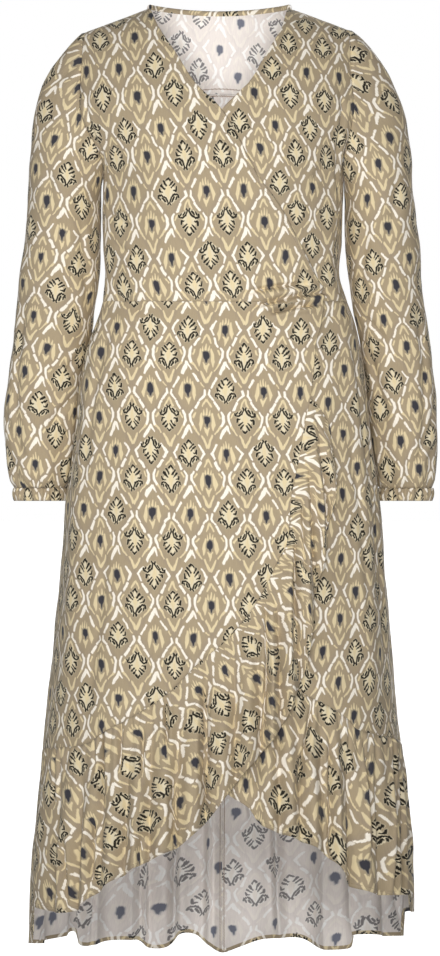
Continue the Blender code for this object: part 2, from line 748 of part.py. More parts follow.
def cuff(name, side):
    """The narrow elastic casing at the end of a sleeve."""
    top, end = sleeve_ring(side, SLEEVE[0]), sleeve_ring(side, CUFF)
    points = trim(np.stack([end, (top + end) / 2, top]), "t")
    cloth(name, points if side < 0 else points[:, ::-1], closed=True)


def clear_scene():
    """Empties the scene and makes the dress's own collection."""
    for old in list(bpy.data.objects):
        bpy.data.objects.remove(old)
    bpy.context.scene.collection.children.link(bpy.data.collections.new("wrap_dress"))


clear_scene()
bodice_front_right()
bodice_front_left()
bodice_back()
back_yoke()
neck_binding()
skirt_front_right()
skirt_front_left()
skirt_back("skirt_back_left", 90, 180)
skirt_back("skirt_back_right", 180, 270)
flounces()
for side_name, side_sign in (("right", -1), ("left", 1)):
    sleeve("sleeve_" + side_name, side_sign)
    cuff("cuff_" + side_name, side_sign)
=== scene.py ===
"""The looks of a wrap dress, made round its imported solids.

Metres, +Z up. The wearer faces -Y, so the wearer's right side is at -X, and the origin is where
the shoulders hold the dress. Tables are in millimetres and degrees.
"""

import bpy
import numpy as np
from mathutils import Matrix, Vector, noise


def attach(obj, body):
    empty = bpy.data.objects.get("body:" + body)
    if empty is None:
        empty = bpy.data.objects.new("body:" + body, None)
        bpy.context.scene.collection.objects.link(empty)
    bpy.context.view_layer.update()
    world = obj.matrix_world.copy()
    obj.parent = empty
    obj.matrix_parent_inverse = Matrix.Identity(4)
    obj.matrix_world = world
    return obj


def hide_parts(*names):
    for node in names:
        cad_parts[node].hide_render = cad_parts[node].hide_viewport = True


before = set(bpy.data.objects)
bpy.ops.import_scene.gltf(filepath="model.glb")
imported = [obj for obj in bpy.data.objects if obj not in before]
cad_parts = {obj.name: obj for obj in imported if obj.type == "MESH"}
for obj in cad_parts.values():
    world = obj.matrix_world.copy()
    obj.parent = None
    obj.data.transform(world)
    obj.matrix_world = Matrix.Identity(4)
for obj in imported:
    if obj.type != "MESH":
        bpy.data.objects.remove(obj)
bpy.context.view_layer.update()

MM = 0.001


# ---- Back of the bodice ----
# A yoke over the shoulder blades and the back below it, cut from one light viscose weave. It is
# printed with a lattice of large and small diamonds round feathered leaves and dark spots, and is
# much paler on its wrong side. The yoke's seam allowances are overlocked and pressed downwards.

UNDERARM = -237 * MM
WAIST = -412 * MM
YOKE_SEAM = -166 * MM
NECK_HALF = 100 * MM
NECK_DIP = 8 * MM
NECK_ROUND = 30 * MM
SHOULDER_SLOPE = 0.38
SHOULDER_GAIN = 36 * MM
SHOULDER_SHIFT = -9 * MM
FULLNESS = 0.22
WIDENING_SHARE = 0.35
CHEST_CURVE, BACK_CURVE = 1.2, 0.8
MEAN_RADIUS = 170 * MM
CLOTH = 0.9 * MM  # thickness of the cloth
GRAIN_STEPS = 16  # in which a length is measured along the form
SEAM_PULL, SEAM_REACH = 0.35 * MM, 2.4 * MM  # how a seam draws the cloth in
HEM_RISE, HEM_MIDDLE, HEM_REACH = 0.5 * MM, 2 * MM, 1.6 * MM  # how a rolled hem stands up
FOLD_FADE = 4  # a fold runs out past each end over its length divided by this
# A crease's bottom is sharper the lower the power; its shoulders have a height, place and width
CREASE_POWER, SHOULDER_HEIGHT, SHOULDER_PLACE, SHOULDER_WIDTH = 1.35, 0.32, 2.1, 1.1
# A crease fades at each end over a share of its length, of which a share lies past the end
FADE_START, FADE_END = (0.3, 0.35), (0.35, 0.3)
UNEVEN = ((55, 1.6), (19, 0.4))  # waviness of the worn cloth: size, depth (mm)

# Sections of the body: height, right edge, left edge, front depth, back depth (mm)
BODY = (
    (-1330, -263, 270, 190, 200), (-1215, -259, 266, 184, 192), (-1107, -252, 260, 176, 182),
    (-1037, -247, 255, 170, 175), (-976, -241, 248, 165, 168), (-896, -233, 241, 157, 160),
    (-798, -223, 232, 149, 150), (-687, -214, 224, 139, 141), (-595, -201, 211, 130, 134),
    (-535, -195, 206, 125, 130), (-496, -189, 201, 121, 126), (-444, -173, 189, 113, 114),
    (-412, -163, 178, 108, 104), (-376, -160, 168, 110, 99), (-339, -162, 170, 116, 99),
    (-290, -163, 172, 124, 103), (-237, -163, 173, 128, 106),
)
# Armhole: way up from underarm to shoulder, angle from the centre (degrees)
ARMHOLE = ((0, 90), (0.04, 81), (0.11, 73.5), (0.25, 68.5), (0.45, 67), (0.72, 66), (1, 63))
# Long soft folds: first angle, height, second angle, height, half width, rise (degrees, mm)
FOLDS = (
    (66, -440, 60, -900, 26, 5), (-70, -450, -62, -880, 30, 5), (-30, -640, -38, -980, 34, 4),
    (8, -560, 4, -820, 34, 3.5), (70, -170, 62, -380, 22, 5), (-66, -200, -72, -390, 22, 4.5),
    (-34, -240, -20, -385, 26, 3), (150, -440, 146, -1000, 34, 6), (205, -450, 214, -1000, 34, 6),
    (240, -470, 246, -960, 30, 5), (118, -470, 112, -960, 30, 5), (150, -190, 165, -400, 28, 4),
    (208, -190, 196, -400, 28, 4),
)
# Creases: first angle, level, second angle, level (degrees, mm), bend, half width, depth (mm)
CREASES = (
    (-60, -150, -74, -300, 6, 5, -4.2), (-68, -282, -46, -309, 3, 4, -3.1),
    (-61, -333, -42, -348, 2, 4, -2.8), (-66, -392, -40, -430, 3, 4, -2.5),
    (-56, -404, -34, -436, -3, 4, -2.5), (58, -150, 72, -320, -5, 5, -4.2),
    (64, -210, 46, -250, 3, 5, -2.2), (11, -400, 45, -389, -3, 3.2, -13),
    (15, -419, 58, -400, -5, 3.2, -13), (20, -429, 48, -417, -2, 3.2, -11),
    (50, -432, 84, -420, 3, 4, -2.5), (-74, -440, -84, -700, 8, 7, -5.6),
    (-58, -450, -62, -660, 5, 8, -2.8), (66, -455, 72, -900, -8, 8, -4.8),
    (80, -520, 76, -860, 6, 6, -4.2), (58, -600, 62, -880, 4, 7, -2.5),
    (-20, -700, -26, -960, 5, 9, -2.5), (-46, -760, -50, -1000, -5, 8, -2.8),
    (150, -236, 128, -330, 8, 7, -3.6), (138, -214, 118, -300, -6, 7, -3.1),
    (212, -240, 234, -334, -8, 7, -3.6), (224, -218, 243, -306, 6, 7, -3.1),
    (168, -230, 172, -392, 4, 9, -2.5), (196, -238, 191, -390, -4, 9, -2.5),
    (128, -350, 136, -420, 3, 5, -2.8), (112, -380, 118, -450, 3, 5, -2.5),
    (232, -352, 224, -420, -3, 5, -2.8), (248, -378, 240, -452, -3, 5, -2.5),
    (136, -436, 130, -820, 8, 9, -4.2), (164, -430, 160, -760, -6, 9, -3.6),
    (196, -432, 202, -800, 6, 9, -3.9), (226, -434, 231, -840, -8, 9, -4.2),
    (108, -450, 104, -700, 5, 7, -3.4), (252, -452, 256, -720, -5, 7, -3.4),
)


def smoothstep(share):
    """An even rise from 0 to 1 that is level at both ends."""
    share = np.clip(share, 0.0, 1.0)
    return share * share * (3 - 2 * share)


def smooth_lookup(at, keys, values):
    """Reads a table at any place between its rows, along one smooth curve."""
    keys = np.asarray(keys, float)
    values = np.asarray(values, float)
    slopes = np.gradient(values, keys)
    at = np.clip(at, keys[0], keys[-1])
    row = np.clip(np.searchsorted(keys, at) - 1, 0, len(keys) - 2)
    span = keys[row + 1] - keys[row]
    t = (at - keys[row]) / span
    start = values[row] * (1 + 2 * t) + span * slopes[row] * t
    end = values[row + 1] * (3 - 2 * t) + span * slopes[row + 1] * (t - 1)
    return start * (1 - t) ** 2 + end * t**2


def body_section(height):
    """Centre, half width, front depth and back depth of the body at a height."""
    table = np.array(BODY) * MM
    right, left, front, back = (smooth_lookup(height, table[:, 0], table[:, n]) for n in range(1, 5))
    return (right + left) / 2, (left - right) / 2, front, back


def shoulder_height(x):
    """Height of the shoulder line above a place across the body."""
    return SHOULDER_SLOPE * (NECK_HALF - np.sqrt(x * x + NECK_ROUND**2))


def form_width(level):
    """Centre and half width of the dress's form at a level."""
    centre, half, _, _ = body_section(np.minimum(level, UNDERARM))
    widening = smoothstep((1 - level / UNDERARM) / WIDENING_SHARE)
    return centre + SHOULDER_SHIFT * widening, half + SHOULDER_GAIN * widening


def form_point(angle, level):
    """Points of the form at an angle round the body (radians) and a level."""
    rise = np.clip(1 - level / UNDERARM, 0, 1) * np.pi / 2
    below = np.minimum(level, UNDERARM)
    _, _, front, back = body_section(below)
    centre, half = form_width(level)
    x = centre + half * np.sin(angle)
    forward = np.cos(angle)
    inward = np.cos(rise)
    depth = np.where(forward > 0, front * inward**CHEST_CURVE, back * inward**BACK_CURVE)
    y = -depth * forward * (1 + FULLNESS * np.sin(angle) ** 2)
    z = below + (shoulder_height(x) - UNDERARM) * np.sin(rise)
    return np.stack(np.broadcast_arrays(x, y, z), axis=-1)


def form_normal(angle, level):
    """Outward directions of the form."""
    across = form_point(angle + MM, level) - form_point(angle - MM, level)
    along = form_point(angle, np.minimum(level + MM, 0)) - form_point(angle, level - MM)
    normal = np.cross(across, along)
    return normal / np.linalg.norm(normal, axis=-1, keepdims=True)


def on_form(x, z, behind=False):
    """Angle and level of a place seen from the front, or of the place behind it."""
    level = np.asarray(z, float)
    share = np.clip((level - UNDERARM) / (shoulder_height(x) - UNDERARM), 0, 1)
    level = np.where(level > UNDERARM, UNDERARM * (1 - np.arcsin(share) * 2 / np.pi), level)
    centre, half = form_width(level)
    angle = np.arcsin(np.clip((x - centre) / half, -1, 1))
    return np.stack([np.pi - angle if behind else angle, level], axis=-1)


def armhole(side, behind, levels):
    """Angle and level along an armhole. side is -1 for the wearer's right, 1 for the left."""
    table = np.array(ARMHOLE)
    angle = np.radians(np.interp(1 - levels / UNDERARM, table[:, 0], table[:, 1]))
    angle = np.where(levels < UNDERARM, np.pi / 2, angle) * side
    return np.stack([np.pi - angle if behind else angle, levels], axis=-1)


def spread(bottom, top, left, right):
    """A net of angle and level between four edges, each a list of points."""
    s = np.linspace(0, 1, len(bottom))[None, :, None]
    t = np.linspace(0, 1, len(left))[:, None, None]
    across = left[:, None] * (1 - s) + right[:, None] * s
    upward = bottom[None] * (1 - t) + top[None] * t
    corners = (bottom[0] * (1 - s) + bottom[-1] * s) * (1 - t) + (top[0] * (1 - s) + top[-1] * s) * t
    return across + upward - corners


def between(bottom, top, rows):
    """A net between two edges whose ends are joined by straight sides."""
    return spread(bottom, top, *(np.linspace(bottom[n], top[n], rows) for n in (0, -1)))


def beside(net, line, radius=None):
    """How far along a fold a place is, as a share of it, and how far to its side (mm)."""
    radius = form_width(net[..., 1])[1] if radius is None else np.full(net.shape[:-1], radius)
    scale = np.stack([radius, np.ones_like(radius)], axis=-1) / MM
    start, end = (np.array([np.radians(line[n]), line[n + 1] * MM]) for n in (0, 2))
    run = (end - start) * scale
    offset = (net - start) * scale
    length = np.linalg.norm(run, axis=-1)
    aside = (offset[..., 0] * run[..., 1] - offset[..., 1] * run[..., 0]) / length
    return (offset * run).sum(axis=-1) / length**2, aside


def ridges(net, table):
    """How far the long soft folds of a table lift the cloth."""
    lift = np.zeros(net.shape[:-1])
    for *line, width, rise in table:
        share, aside = beside(net, line)
        fade = smoothstep(share * FOLD_FADE + 1) * smoothstep(FOLD_FADE + 1 - share * FOLD_FADE)
        lift += rise * MM * fade * np.exp(-((aside / width) ** 2))
    return lift


def run_out(share):
    """How a crease fades towards its two ends."""
    start = smoothstep(share / FADE_START[0] + FADE_START[1])
    return start * smoothstep((1 - share) / FADE_END[0] + FADE_END[1])


def creased(share, aside, bend, width, depth):
    """A crease with a soft shoulder to each side, which runs out at its ends."""
    inside = np.clip(share, 0, 1)
    aside = np.abs(aside - bend * 4 * inside * (1 - inside)) / width
    shoulder = SHOULDER_HEIGHT * np.exp(-(((aside - SHOULDER_PLACE) / SHOULDER_WIDTH) ** 2))
    return depth * MM * run_out(share) * (np.exp(-(aside**CREASE_POWER)) - shoulder)


def worn(net):
    """How far the folds and creases of the worn body lift its cloth."""
    lift = ridges(net, FOLDS)
    for *line, bend, width, depth in CREASES:
        lift += creased(*beside(net, line), bend, width, depth)
    return lift


def uneven(points, lift, table):
    """A lift with the slight waviness of worn cloth, of each size and depth of a table (mm)."""
    for size, depth in table:
        waves = [noise.noise(Vector(p)) for p in (points / (size * MM)).reshape(-1, 3).tolist()]
        lift = lift + np.array(waves).reshape(points.shape[:-1]) * (depth * MM)
    return lift


def lay(net, lift):
    """Points of the cloth over the form, at a lift outwards."""
    angle, level = net[..., 0], net[..., 1]
    points = form_point(angle, level)
    return points + form_normal(angle, level) * uneven(points, lift, UNEVEN)[..., None]


def run_length(start, end):
    """Length of the cloth between two nets, measured along the form."""
    steps = np.linspace(0, 1, GRAIN_STEPS)
    points = [form_point(*np.moveaxis(start + (end - start) * t, -1, 0)) for t in steps]
    return sum(np.linalg.norm(b - a, axis=-1) for a, b in zip(points[:-1], points[1:]))


def grain(net, middle):
    """Where a net lies in the cloth's width and length, from the waist at a middle angle."""
    angle, level = net[..., 0], net[..., 1]
    across_from = np.stack([np.full_like(angle, middle), level], axis=-1)
    up_from = np.stack([angle, np.full_like(level, WAIST)], axis=-1)
    across = np.sign(angle - middle) * run_length(across_from, net)
    upward = np.sign(level - WAIST) * run_length(up_from, net)
    return np.stack([across, upward], axis=-1)


def turned(place, rows=0.0, columns=None, stretch=(1, 1), shift=(0, 0)):
    """Places of the cloth on its print, which lies a little askew to the cut: its rows fall and
    its columns lean to the right (degrees), and it is drawn out and shifted (mm)."""
    lean = np.radians(-rows if columns is None else columns)
    fall = np.radians(rows)
    across = place[..., 0] * np.cos(fall) + place[..., 1] * np.sin(lean)
    upward = place[..., 0] * np.sin(fall) + place[..., 1] * np.cos(lean)
    return np.stack([across, upward], axis=-1) * stretch + np.array(shift) * MM


def print_from(net, spot, *askew, middle=0.0, behind=False):
    """Places of a net on the print, where one of its spots is seen at x, z (mm)."""
    x, z = np.array(spot, float) * MM
    return turned(grain(net, middle) - grain(on_form(x, z, behind), middle), *askew)


def lengths(points):
    """Length of each column of a grid from its first row."""
    steps = np.linalg.norm(np.diff(points, axis=0), axis=-1)
    return np.concatenate([np.zeros((1, steps.shape[1])), np.cumsum(steps, axis=0)])


def edge_reach(points, edges):
    """Distance of each point of a grid from its nearest edge of those named: b, t, l or r."""
    across = points.swapaxes(0, 1)
    away = {"b": lambda: lengths(points), "t": lambda: lengths(points[::-1])[::-1]}
    away |= {"l": lambda: lengths(across).T, "r": lambda: lengths(across[::-1])[::-1].T}
    return np.minimum.reduce([np.full(points.shape[:2], 1.0)] + [away[edge]() for edge in edges])


def outward(points, closed):
    """Directions square to a grid of points."""
    if closed:
        loop = points[:, :-1]
        across = np.roll(loop, -1, axis=1) - np.roll(loop, 1, axis=1)
        across = np.concatenate([across, across[:, :1]], axis=1)
    else:
        across = np.gradient(points, axis=1)
    normal = np.cross(across, np.gradient(points, axis=0))
    return normal / np.linalg.norm(normal, axis=-1, keepdims=True)


def into_scene(name, data):
    """A new object in the scene."""
    made = bpy.data.objects.new(name, data)
    bpy.context.scene.collection.objects.link(made)
    return made


def panel(name, points, print_place, sewn, hemmed="", pressed="", closed=False, wider=0):
    """One piece of cloth in place of the solid of its name, through a grid of points. It is drawn
    in at its seams and rolled at its hems, and the allowances of pressed seams show inside."""
    seam, hem, allowance = (edge_reach(points, edges) for edges in (sewn, hemmed, pressed))
    edge_place = np.stack([hem, allowance - wider * MM], axis=-1)
    pull = SEAM_PULL * np.exp(-((seam / SEAM_REACH) ** 2))
    roll = HEM_RISE * np.exp(-(((hem - HEM_MIDDLE) / HEM_REACH) ** 2))
    points = points + outward(points, closed) * (roll - pull)[..., None]
    rows, columns = points.shape[:2]
    corners = np.arange(rows * columns).reshape(rows, columns)
    numbers = corners
    if closed:
        points = points[:, :-1]
        numbers = np.arange(rows * (columns - 1)).reshape(rows, columns - 1)
        numbers = np.concatenate([numbers, numbers[:, :1]], axis=1)

    def faces(n):
        return np.stack([c.ravel() for c in (n[:-1, :-1], n[:-1, 1:], n[1:, 1:], n[1:, :-1])], axis=-1)

    mesh = bpy.data.meshes.new(name + "_cloth")
    mesh.from_pydata(points.reshape(-1, 3).tolist(), [], faces(numbers).tolist())
    mesh.shade_smooth()
    for layer, place in (("print", print_place), ("edges", edge_place)):
        places = place.reshape(-1, 2)[faces(corners).ravel()]
        mesh.uv_layers.new(name=layer).data.foreach_set("uv", places.astype(np.float32).ravel())
    mesh.materials.append(right_side)
    mesh.materials.append(wrong_side)
    piece = into_scene(name + "_cloth", mesh)
    wall = piece.modifiers.new("thickness", "SOLIDIFY")
    wall.thickness = CLOTH
    wall.offset = 0
    wall.material_offset = 1
    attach(piece, "root")
    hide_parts(name)
    return piece


class Wire:
    """A shader node's output. Sums of values are written as they are read."""

    def __init__(self, tree, socket=None):
        self.tree = tree
        self.socket = socket

    def node(self, kind, settings=(), inputs=(), out=0):
        """Another node: its type, its settings, then the values or links of its sockets."""
        made = self.tree.nodes.new("ShaderNode" + kind)
        for name, value in dict(settings).items():
            setattr(made, name, value)
        for key, value in inputs.items() if isinstance(inputs, dict) else enumerate(inputs):
            if isinstance(value, Wire):
                self.tree.links.new(value.socket, made.inputs[key])
            else:
                made.inputs[key].default_value = value
        return Wire(self.tree, made.outputs[out])

    def math(self, operation, *others, clamp=False):
        return self.node("Math", {"operation": operation, "use_clamp": clamp}, [self, *others])

    def vector(self, operation, *others, out=0):
        return self.node("VectorMath", {"operation": operation}, [self, *others], out)

    def part(self, number):
        """One of a vector's three numbers."""
        return self.node("SeparateXYZ", (), [self], number)

    def beside(self, y):
        """A place, from its x and its y."""
        return self.node("CombineXYZ", (), {0: self, 1: y})

    def scaled(self, share):
        """A vector or a colour times a number."""
        return self.node("VectorMath", {"operation": "SCALE"}, {0: self, 3: share})

    def __add__(self, other):
        return self.math("ADD", other)

    def __sub__(self, other):
        return self.math("SUBTRACT", other)

    def __rsub__(self, other):
        return self.node("Math", {"operation": "SUBTRACT"}, [other, self])

    def __mul__(self, other):
        return self.math("MULTIPLY", other)

    def __truediv__(self, other):
        return self.math("DIVIDE", other)

    __radd__ = __add__
    __rmul__ = __mul__

    def below(self, edge, blur):
        """1 where the value is under an edge, fading to 0 over a blur to both sides of it."""
        return ((edge + blur) - self).math("DIVIDE", 2 * blur, clamp=True)

    def colour(self, first, second):
        """The second of two colours where the value is 1."""
        pair = [c if isinstance(c, Wire) else (*c, 1) for c in (first, second)]
        return self.node("Mix", {"data_type": "RGBA"}, {0: self, 6: pair[0], 7: pair[1]}, out=2)


PRINT_WIDTH = 26.5  # half of the lattice's repeat across (mm)
PRINT_HEIGHT = 44  # half of its repeat up (mm)
EDGE_BLUR = 0.5  # half width of a brush stroke's soft edge (mm)

# Brush strokes, each a line through places with its half width there: x, y, half width (mm).
# The lattice round the core of a large diamond, drawn on both sides of it
WHITE_LARGE = (
    ((20.4, 11.5, 1.3), (23.2, 6, 1.7), (22.8, -1, 1.8), (20.2, -8, 1.5)),
    ((10.4, 25, 1.7), (16, 15, 1.8)),
)
CREAM_LARGE = (
    ((20.0, -8.4, 1.7), (11.4, -21, 0.9)), ((16.0, 8.4, 1.2), (18.8, 3, 1.3)),
    ((7.6, -22.6, 1.3), (0.8, -37.4, 2.2)), ((5.6, 18.6, 1.1), (0.4, 29, 1.5)),
)
# Round the core of a small diamond of one row: a pair of brackets and three single strokes
SHORT_BRACKETS = (((22.6, -2, 1.4), (23.6, -8, 1.7), (17.2, -15.4, 1.4)),)
WHITE_DASHES = (((8.2, 22, 1.4), (15, 10, 1.6)), ((-13, 14.5, 1.6), (-19.5, 2.5, 1.5)))
CREAM_DASH = (((18.5, 7.8, 1.0), (22, 3.2, 0.9)),)
# Of the next row: a pair of long brackets. Of both: an arrow head above the core
LONG_BRACKETS = (((14, 11, 1.2), (21.5, 0, 1.7), (17.5, -8, 1.2)),)
ARROW_HEAD = (
    ((0, 38, 1.7), (-2.6, 31, 2.8), (-7.8, 21, 1.7)),
    ((0.5, 37.5, 2.0), (5.6, 28.2, 0.8)),
)
# Cream flame and dark spot
FLAME = (
    ((0, 9, 1.5), (0.2, 16.3, 0.4)), ((3.9, 7.6, 1.5), (4.3, 13.8, 0.4)),
    ((7.2, 8.6, 1.2), (8.2, 1, 2.2), (9.6, -7, 2.9), (9.4, -15, 0.7)),
    ((3.8, -11.6, 0.9), (0.4, -18, 2.0)), ((0.4, -16, 2.2), (0, -23, 0.5)),
)
SPOT = (((0, 2, 4.3), (0, -2.4, 4.4)), ((0, -5, 2.4), (0.3, -10.4, 0.7)))
# Leaf, with feathered edges round a cream heart
LEAF_INK = (
    ((0.2, 17.4, 1.2), (2.9, 14.2, 1.1)), ((5.9, 12.0, 1.5), (1.9, 6.2, 0.8)),
    ((8.8, 8.0, 1.5), (3.5, 2.6, 0.8)), ((11.2, 3.4, 1.0), (10.4, -0.8, 1.5)),
    ((10.4, -0.8, 1.4), (6.6, -1.4, 0.7)),
    ((13.6, -9.2, 1.1), (12.8, -6, 1.3), (8.8, -5.2, 1.2), (3.9, -9.6, 1.1), (1.3, -16.6, 1.0)),
    ((7.6, -9.8, 1.2), (5.0, -14.8, 1.1)), ((11.2, -9.2, 1.1), (10.5, -12, 0.9)),
    ((1.1, -16.6, 1.2), (2.3, -19.4, 1.0)),
)
LEAF_HEART = (((0, 7, 1.1), (0, -0.5, 3.2), (0, -11, 0.5)),)
LEAF_BODY = (((0, 13, 1.8), (0, 3, 8.0), (0, -7, 11.2)), ((0, -7, 9.0), (0, -15, 2.2)))
# How far each row's cores lie below the even lattice (mm)
LOWER_LARGE, LOWER_SMALL, LOWEST_SMALL = 3, 3.5, 6
HEM_WIDTH, HEM_BLUR = 5.4, 0.3  # turned up at the hems (mm)
ALLOWANCE = 2.8  # half width of a seam's overlocked allowances (mm)
STITCH_LINE = 5.6  # of a hem's stitches from its edge (mm)
# Half width and soft edge of the stitches and of the overlock thread (mm), how much of a
# stitch line is gap (-1 is none), and how far the thread's loops swing (mm)
STITCH_EDGE, THREAD_EDGE, STITCH_GAP, LOOP_DEPTH = (0.3, 0.15), (0.7, 0.3), -0.4, 0.3
STITCH_SHOWS, THREAD_SHOWS = 0.6, 0.8  # how strongly their own colours show
# The slubs of the weave and the dye's creep run along the threads: waves across, up (per mm)
CREEP_GRAIN, SLUB_GRAIN = (0.9, 0.05, 0), (0.9, 0.07, 0)
SLUB_SHADE = (0.2, 0.9)  # how much the slubs lighten the colour, and from what
CREEP, DRIFT = 3.6, (5, 6, 0)  # how far the dye creeps, and the whole print drifts (mm)
STITCH_RUN, LOOP_RUN = (1.1, 2.3, 0), (1.7, 2.9, 0)  # pitch of stitches and of overlock loops
FAR = 99  # puts a stroke out of reach (mm)
# Where a tone ends, and how softly: along the lattice, round a spot, the spot, the feathers
BAND, HALO, SPOT_EDGE, FEATHER = (0.12, 0.1), (1.0, 0.9), (0, 0.8), (0.15, 0.4)
LEAF_MARGIN = 0.5  # of the light ground round the feathers (mm)


def stroke(place, start, end):
    """How far outside a brush stroke a place is (mm)."""
    run = np.subtract(end[:2], start[:2])
    offset = place.vector("SUBTRACT", (*start[:2], 0))
    share = offset.vector("DOT_PRODUCT", (*(run / (run @ run)), 0), out=1)
    share = share.math("MULTIPLY", 1.0, clamp=True)
    foot = place.node("VectorMath", {"operation": "SCALE"}, {0: (*run, 0), 3: share})
    width = share.math("MULTIPLY_ADD", end[2] - start[2], start[2])
    return offset.vector("DISTANCE", foot, out=1) - width


def strokes(place, lines):
    """How far outside the nearest of some lines of brush strokes a place is (mm)."""
    nearest, *others = (stroke(place, *ends) for line in lines for ends in zip(line, line[1:]))
    for other in others:
        nearest = nearest.math("MINIMUM", other)
    return nearest


def cloth_place(start):
    """A point's place on the print (mm)."""
    return start.node("UVMap", {"uv_map": "print"}).vector("MULTIPLY", (1 / MM, 1 / MM, 0))


def raised(start, height):
    """A step straight up."""
    return start.node("CombineXYZ", (), {1: height})


def dyed(start):
    """A point's place on the print (mm), with the dye's creep along the threads."""
    place = cloth_place(start)
    flat = {"noise_dimensions": "2D"}
    threads = place.vector("MULTIPLY", CREEP_GRAIN)
    creep = start.node("TexNoise", flat, {"Vector": threads, "Scale": 1.0, "Detail": 2.0})
    drift = start.node("TexNoise", flat, {"Vector": place, "Scale": 0.05, "Detail": 1.0}, out=1)
    drift = drift.vector("SUBTRACT", (0.5, 0.5, 0.5)).vector("MULTIPLY", DRIFT)
    return place.vector("ADD", raised(start, (creep - 0.5) * CREEP)).vector("ADD", drift)


def printed(start, ground, band, cream, white, light, ink, spot, halo):
    """The colour of the print."""
    place = dyed(start)
    high, low = (PRINT_WIDTH, PRINT_HEIGHT, 1), (-PRINT_WIDTH, -PRINT_HEIGHT, -1)
    to_number = (0.5 / PRINT_WIDTH, 0.5 / PRINT_HEIGHT, 0)
    between = place.vector("ADD", (-PRINT_WIDTH, PRINT_HEIGHT, 0))
    large, small = (p.vector("WRAP", high, low) for p in (place, between))
    steps = (place.vector("SUBTRACT", large), between.vector("SUBTRACT", small))
    steps = (step.vector("MULTIPLY", to_number).vector("ADD", (0.5, 0.5, 0)) for step in steps)
    large_at, small_at = (step.vector("FLOOR") for step in steps)
    slope = (1 / PRINT_WIDTH, 1 / PRINT_HEIGHT, 0)
    diamond = large.vector("ABSOLUTE").vector("DOT_PRODUCT", slope, out=1)
    in_large = diamond.math("LESS_THAN", 1.0)

    def choose(large_value, small_value):
        return large_value * in_large + small_value * (1 - in_large)

    def third(number):
        return (number + 0.5).math("FLOORED_MODULO", 3.0)

    # each third large diamond holds a spot, and the leaves turn over from row to row
    rows = ((at.part(1) + 0.5).math("FLOORED_MODULO", 2.0) for at in (large_at, small_at))
    even_large, even_small = (row.math("LESS_THAN", 1.0) for row in rows)
    large_third, small_third = third(large_at.part(0)), third(small_at.part(0))
    small_spot = (small_third.math("LESS_THAN", 1.0) - even_small).math("ABSOLUTE")
    is_spot = choose(large_third.math("LESS_THAN", 1.0), small_spot)
    small_up = even_small.math("MAXIMUM", small_third.math("GREATER_THAN", 2.0))
    upward = choose(even_large, small_up) * 2 - 1
    # the ground, greyer along the lattice
    colour = (diamond - 1).math("ABSOLUTE").below(*BAND).colour(ground, band)
    # the strokes of the lattice
    large = large.vector("ADD", raised(start, (1 - even_large) * LOWER_LARGE))
    down = even_small.math("MULTIPLY_ADD", LOWER_SMALL - LOWEST_SMALL, LOWEST_SMALL)
    small = small.vector("ADD", raised(start, down))
    large_half, small_half = (p.part(0).math("ABSOLUTE").beside(p.part(1)) for p in (large, small))
    odd_small = (1 - even_small) * FAR
    dash = strokes(small, CREAM_DASH) + odd_small
    cream_edge = strokes(large_half, CREAM_LARGE).math("MINIMUM", dash)
    colour = cream_edge.below(0, EDGE_BLUR).colour(colour, cream)
    short = strokes(small_half, SHORT_BRACKETS).math("MINIMUM", strokes(small, WHITE_DASHES))
    long = strokes(small_half, LONG_BRACKETS) + even_small * FAR
    white_edge = (short + odd_small).math("MINIMUM", long)
    white_edge = strokes(large_half, WHITE_LARGE).math("MINIMUM", white_edge)
    white_edge = white_edge.math("MINIMUM", strokes(small, ARROW_HEAD))
    colour = white_edge.below(0, EDGE_BLUR).colour(colour, white)
    # the spot and its flame
    x = choose(large.part(0), small.part(0)).math("ABSOLUTE")
    y = choose(large.part(1), small.part(1))
    here = x.beside(y)
    colour = (strokes(here, FLAME).below(0, EDGE_BLUR) * is_spot).colour(colour, cream)
    spot_edge = strokes(here, SPOT)
    colour = (spot_edge.below(*HALO) * is_spot).colour(colour, halo)
    colour = (spot_edge.below(*SPOT_EDGE) * is_spot).colour(colour, spot)
    # the leaf: dark feathers and curls on a light ground, with a cream heart
    is_leaf = 1 - is_spot
    here = x.beside(y * upward)
    feathers, heart = strokes(here, LEAF_INK), strokes(here, LEAF_HEART)
    margin = (feathers - LEAF_MARGIN).math("MINIMUM", strokes(here, LEAF_BODY))
    colour = (margin.below(0, EDGE_BLUR) * is_leaf).colour(colour, light)
    colour = (heart.below(0, EDGE_BLUR) * is_leaf).colour(colour, cream)
    return (feathers.below(*FEATHER) * is_leaf).colour(colour, ink)


def swatch(red, green, blue):
    """A colour of a swatch card, from 0 to 255."""
    level = np.array([red, green, blue]) / 255
    return tuple(np.where(level <= 0.04045, level / 12.92, ((level + 0.055) / 1.055) ** 2.4).tolist())


def woven(name, paint):
    """The weave's finish: matt, a little slubbed, with fine crepe, over what paints its colour."""
    material = bpy.data.materials.new(name)
    material.use_nodes = True
    tree = material.node_tree
    shader = tree.nodes["Principled BSDF"]
    shader.inputs["Roughness"].default_value = 0.8
    shader.inputs["Sheen Weight"].default_value = 0.1
    shader.inputs["Sheen Roughness"].default_value = 0.5
    shader.inputs["Specular IOR Level"].default_value = 0.2
    start = Wire(tree)
    colour = paint(start)
    threads = cloth_place(start).vector("MULTIPLY", SLUB_GRAIN)
    flat = {"noise_dimensions": "2D"}
    slub = start.node("TexNoise", flat, {"Vector": threads, "Scale": 1.0, "Detail": 3.0})
    colour = colour.scaled(slub.math("MULTIPLY_ADD", *SLUB_SHADE))
    tree.links.new(colour.socket, shader.inputs["Base Color"])
    crepe = start.node("TexNoise", flat, {"Vector": cloth_place(start), "Scale": 1.2, "Detail": 3.0})
    bump = start.node("Bump", {}, {"Height": crepe, "Strength": 0.15, "Distance": 0.5 * MM})
    tree.links.new(bump.socket, shader.inputs["Normal"])
    return material


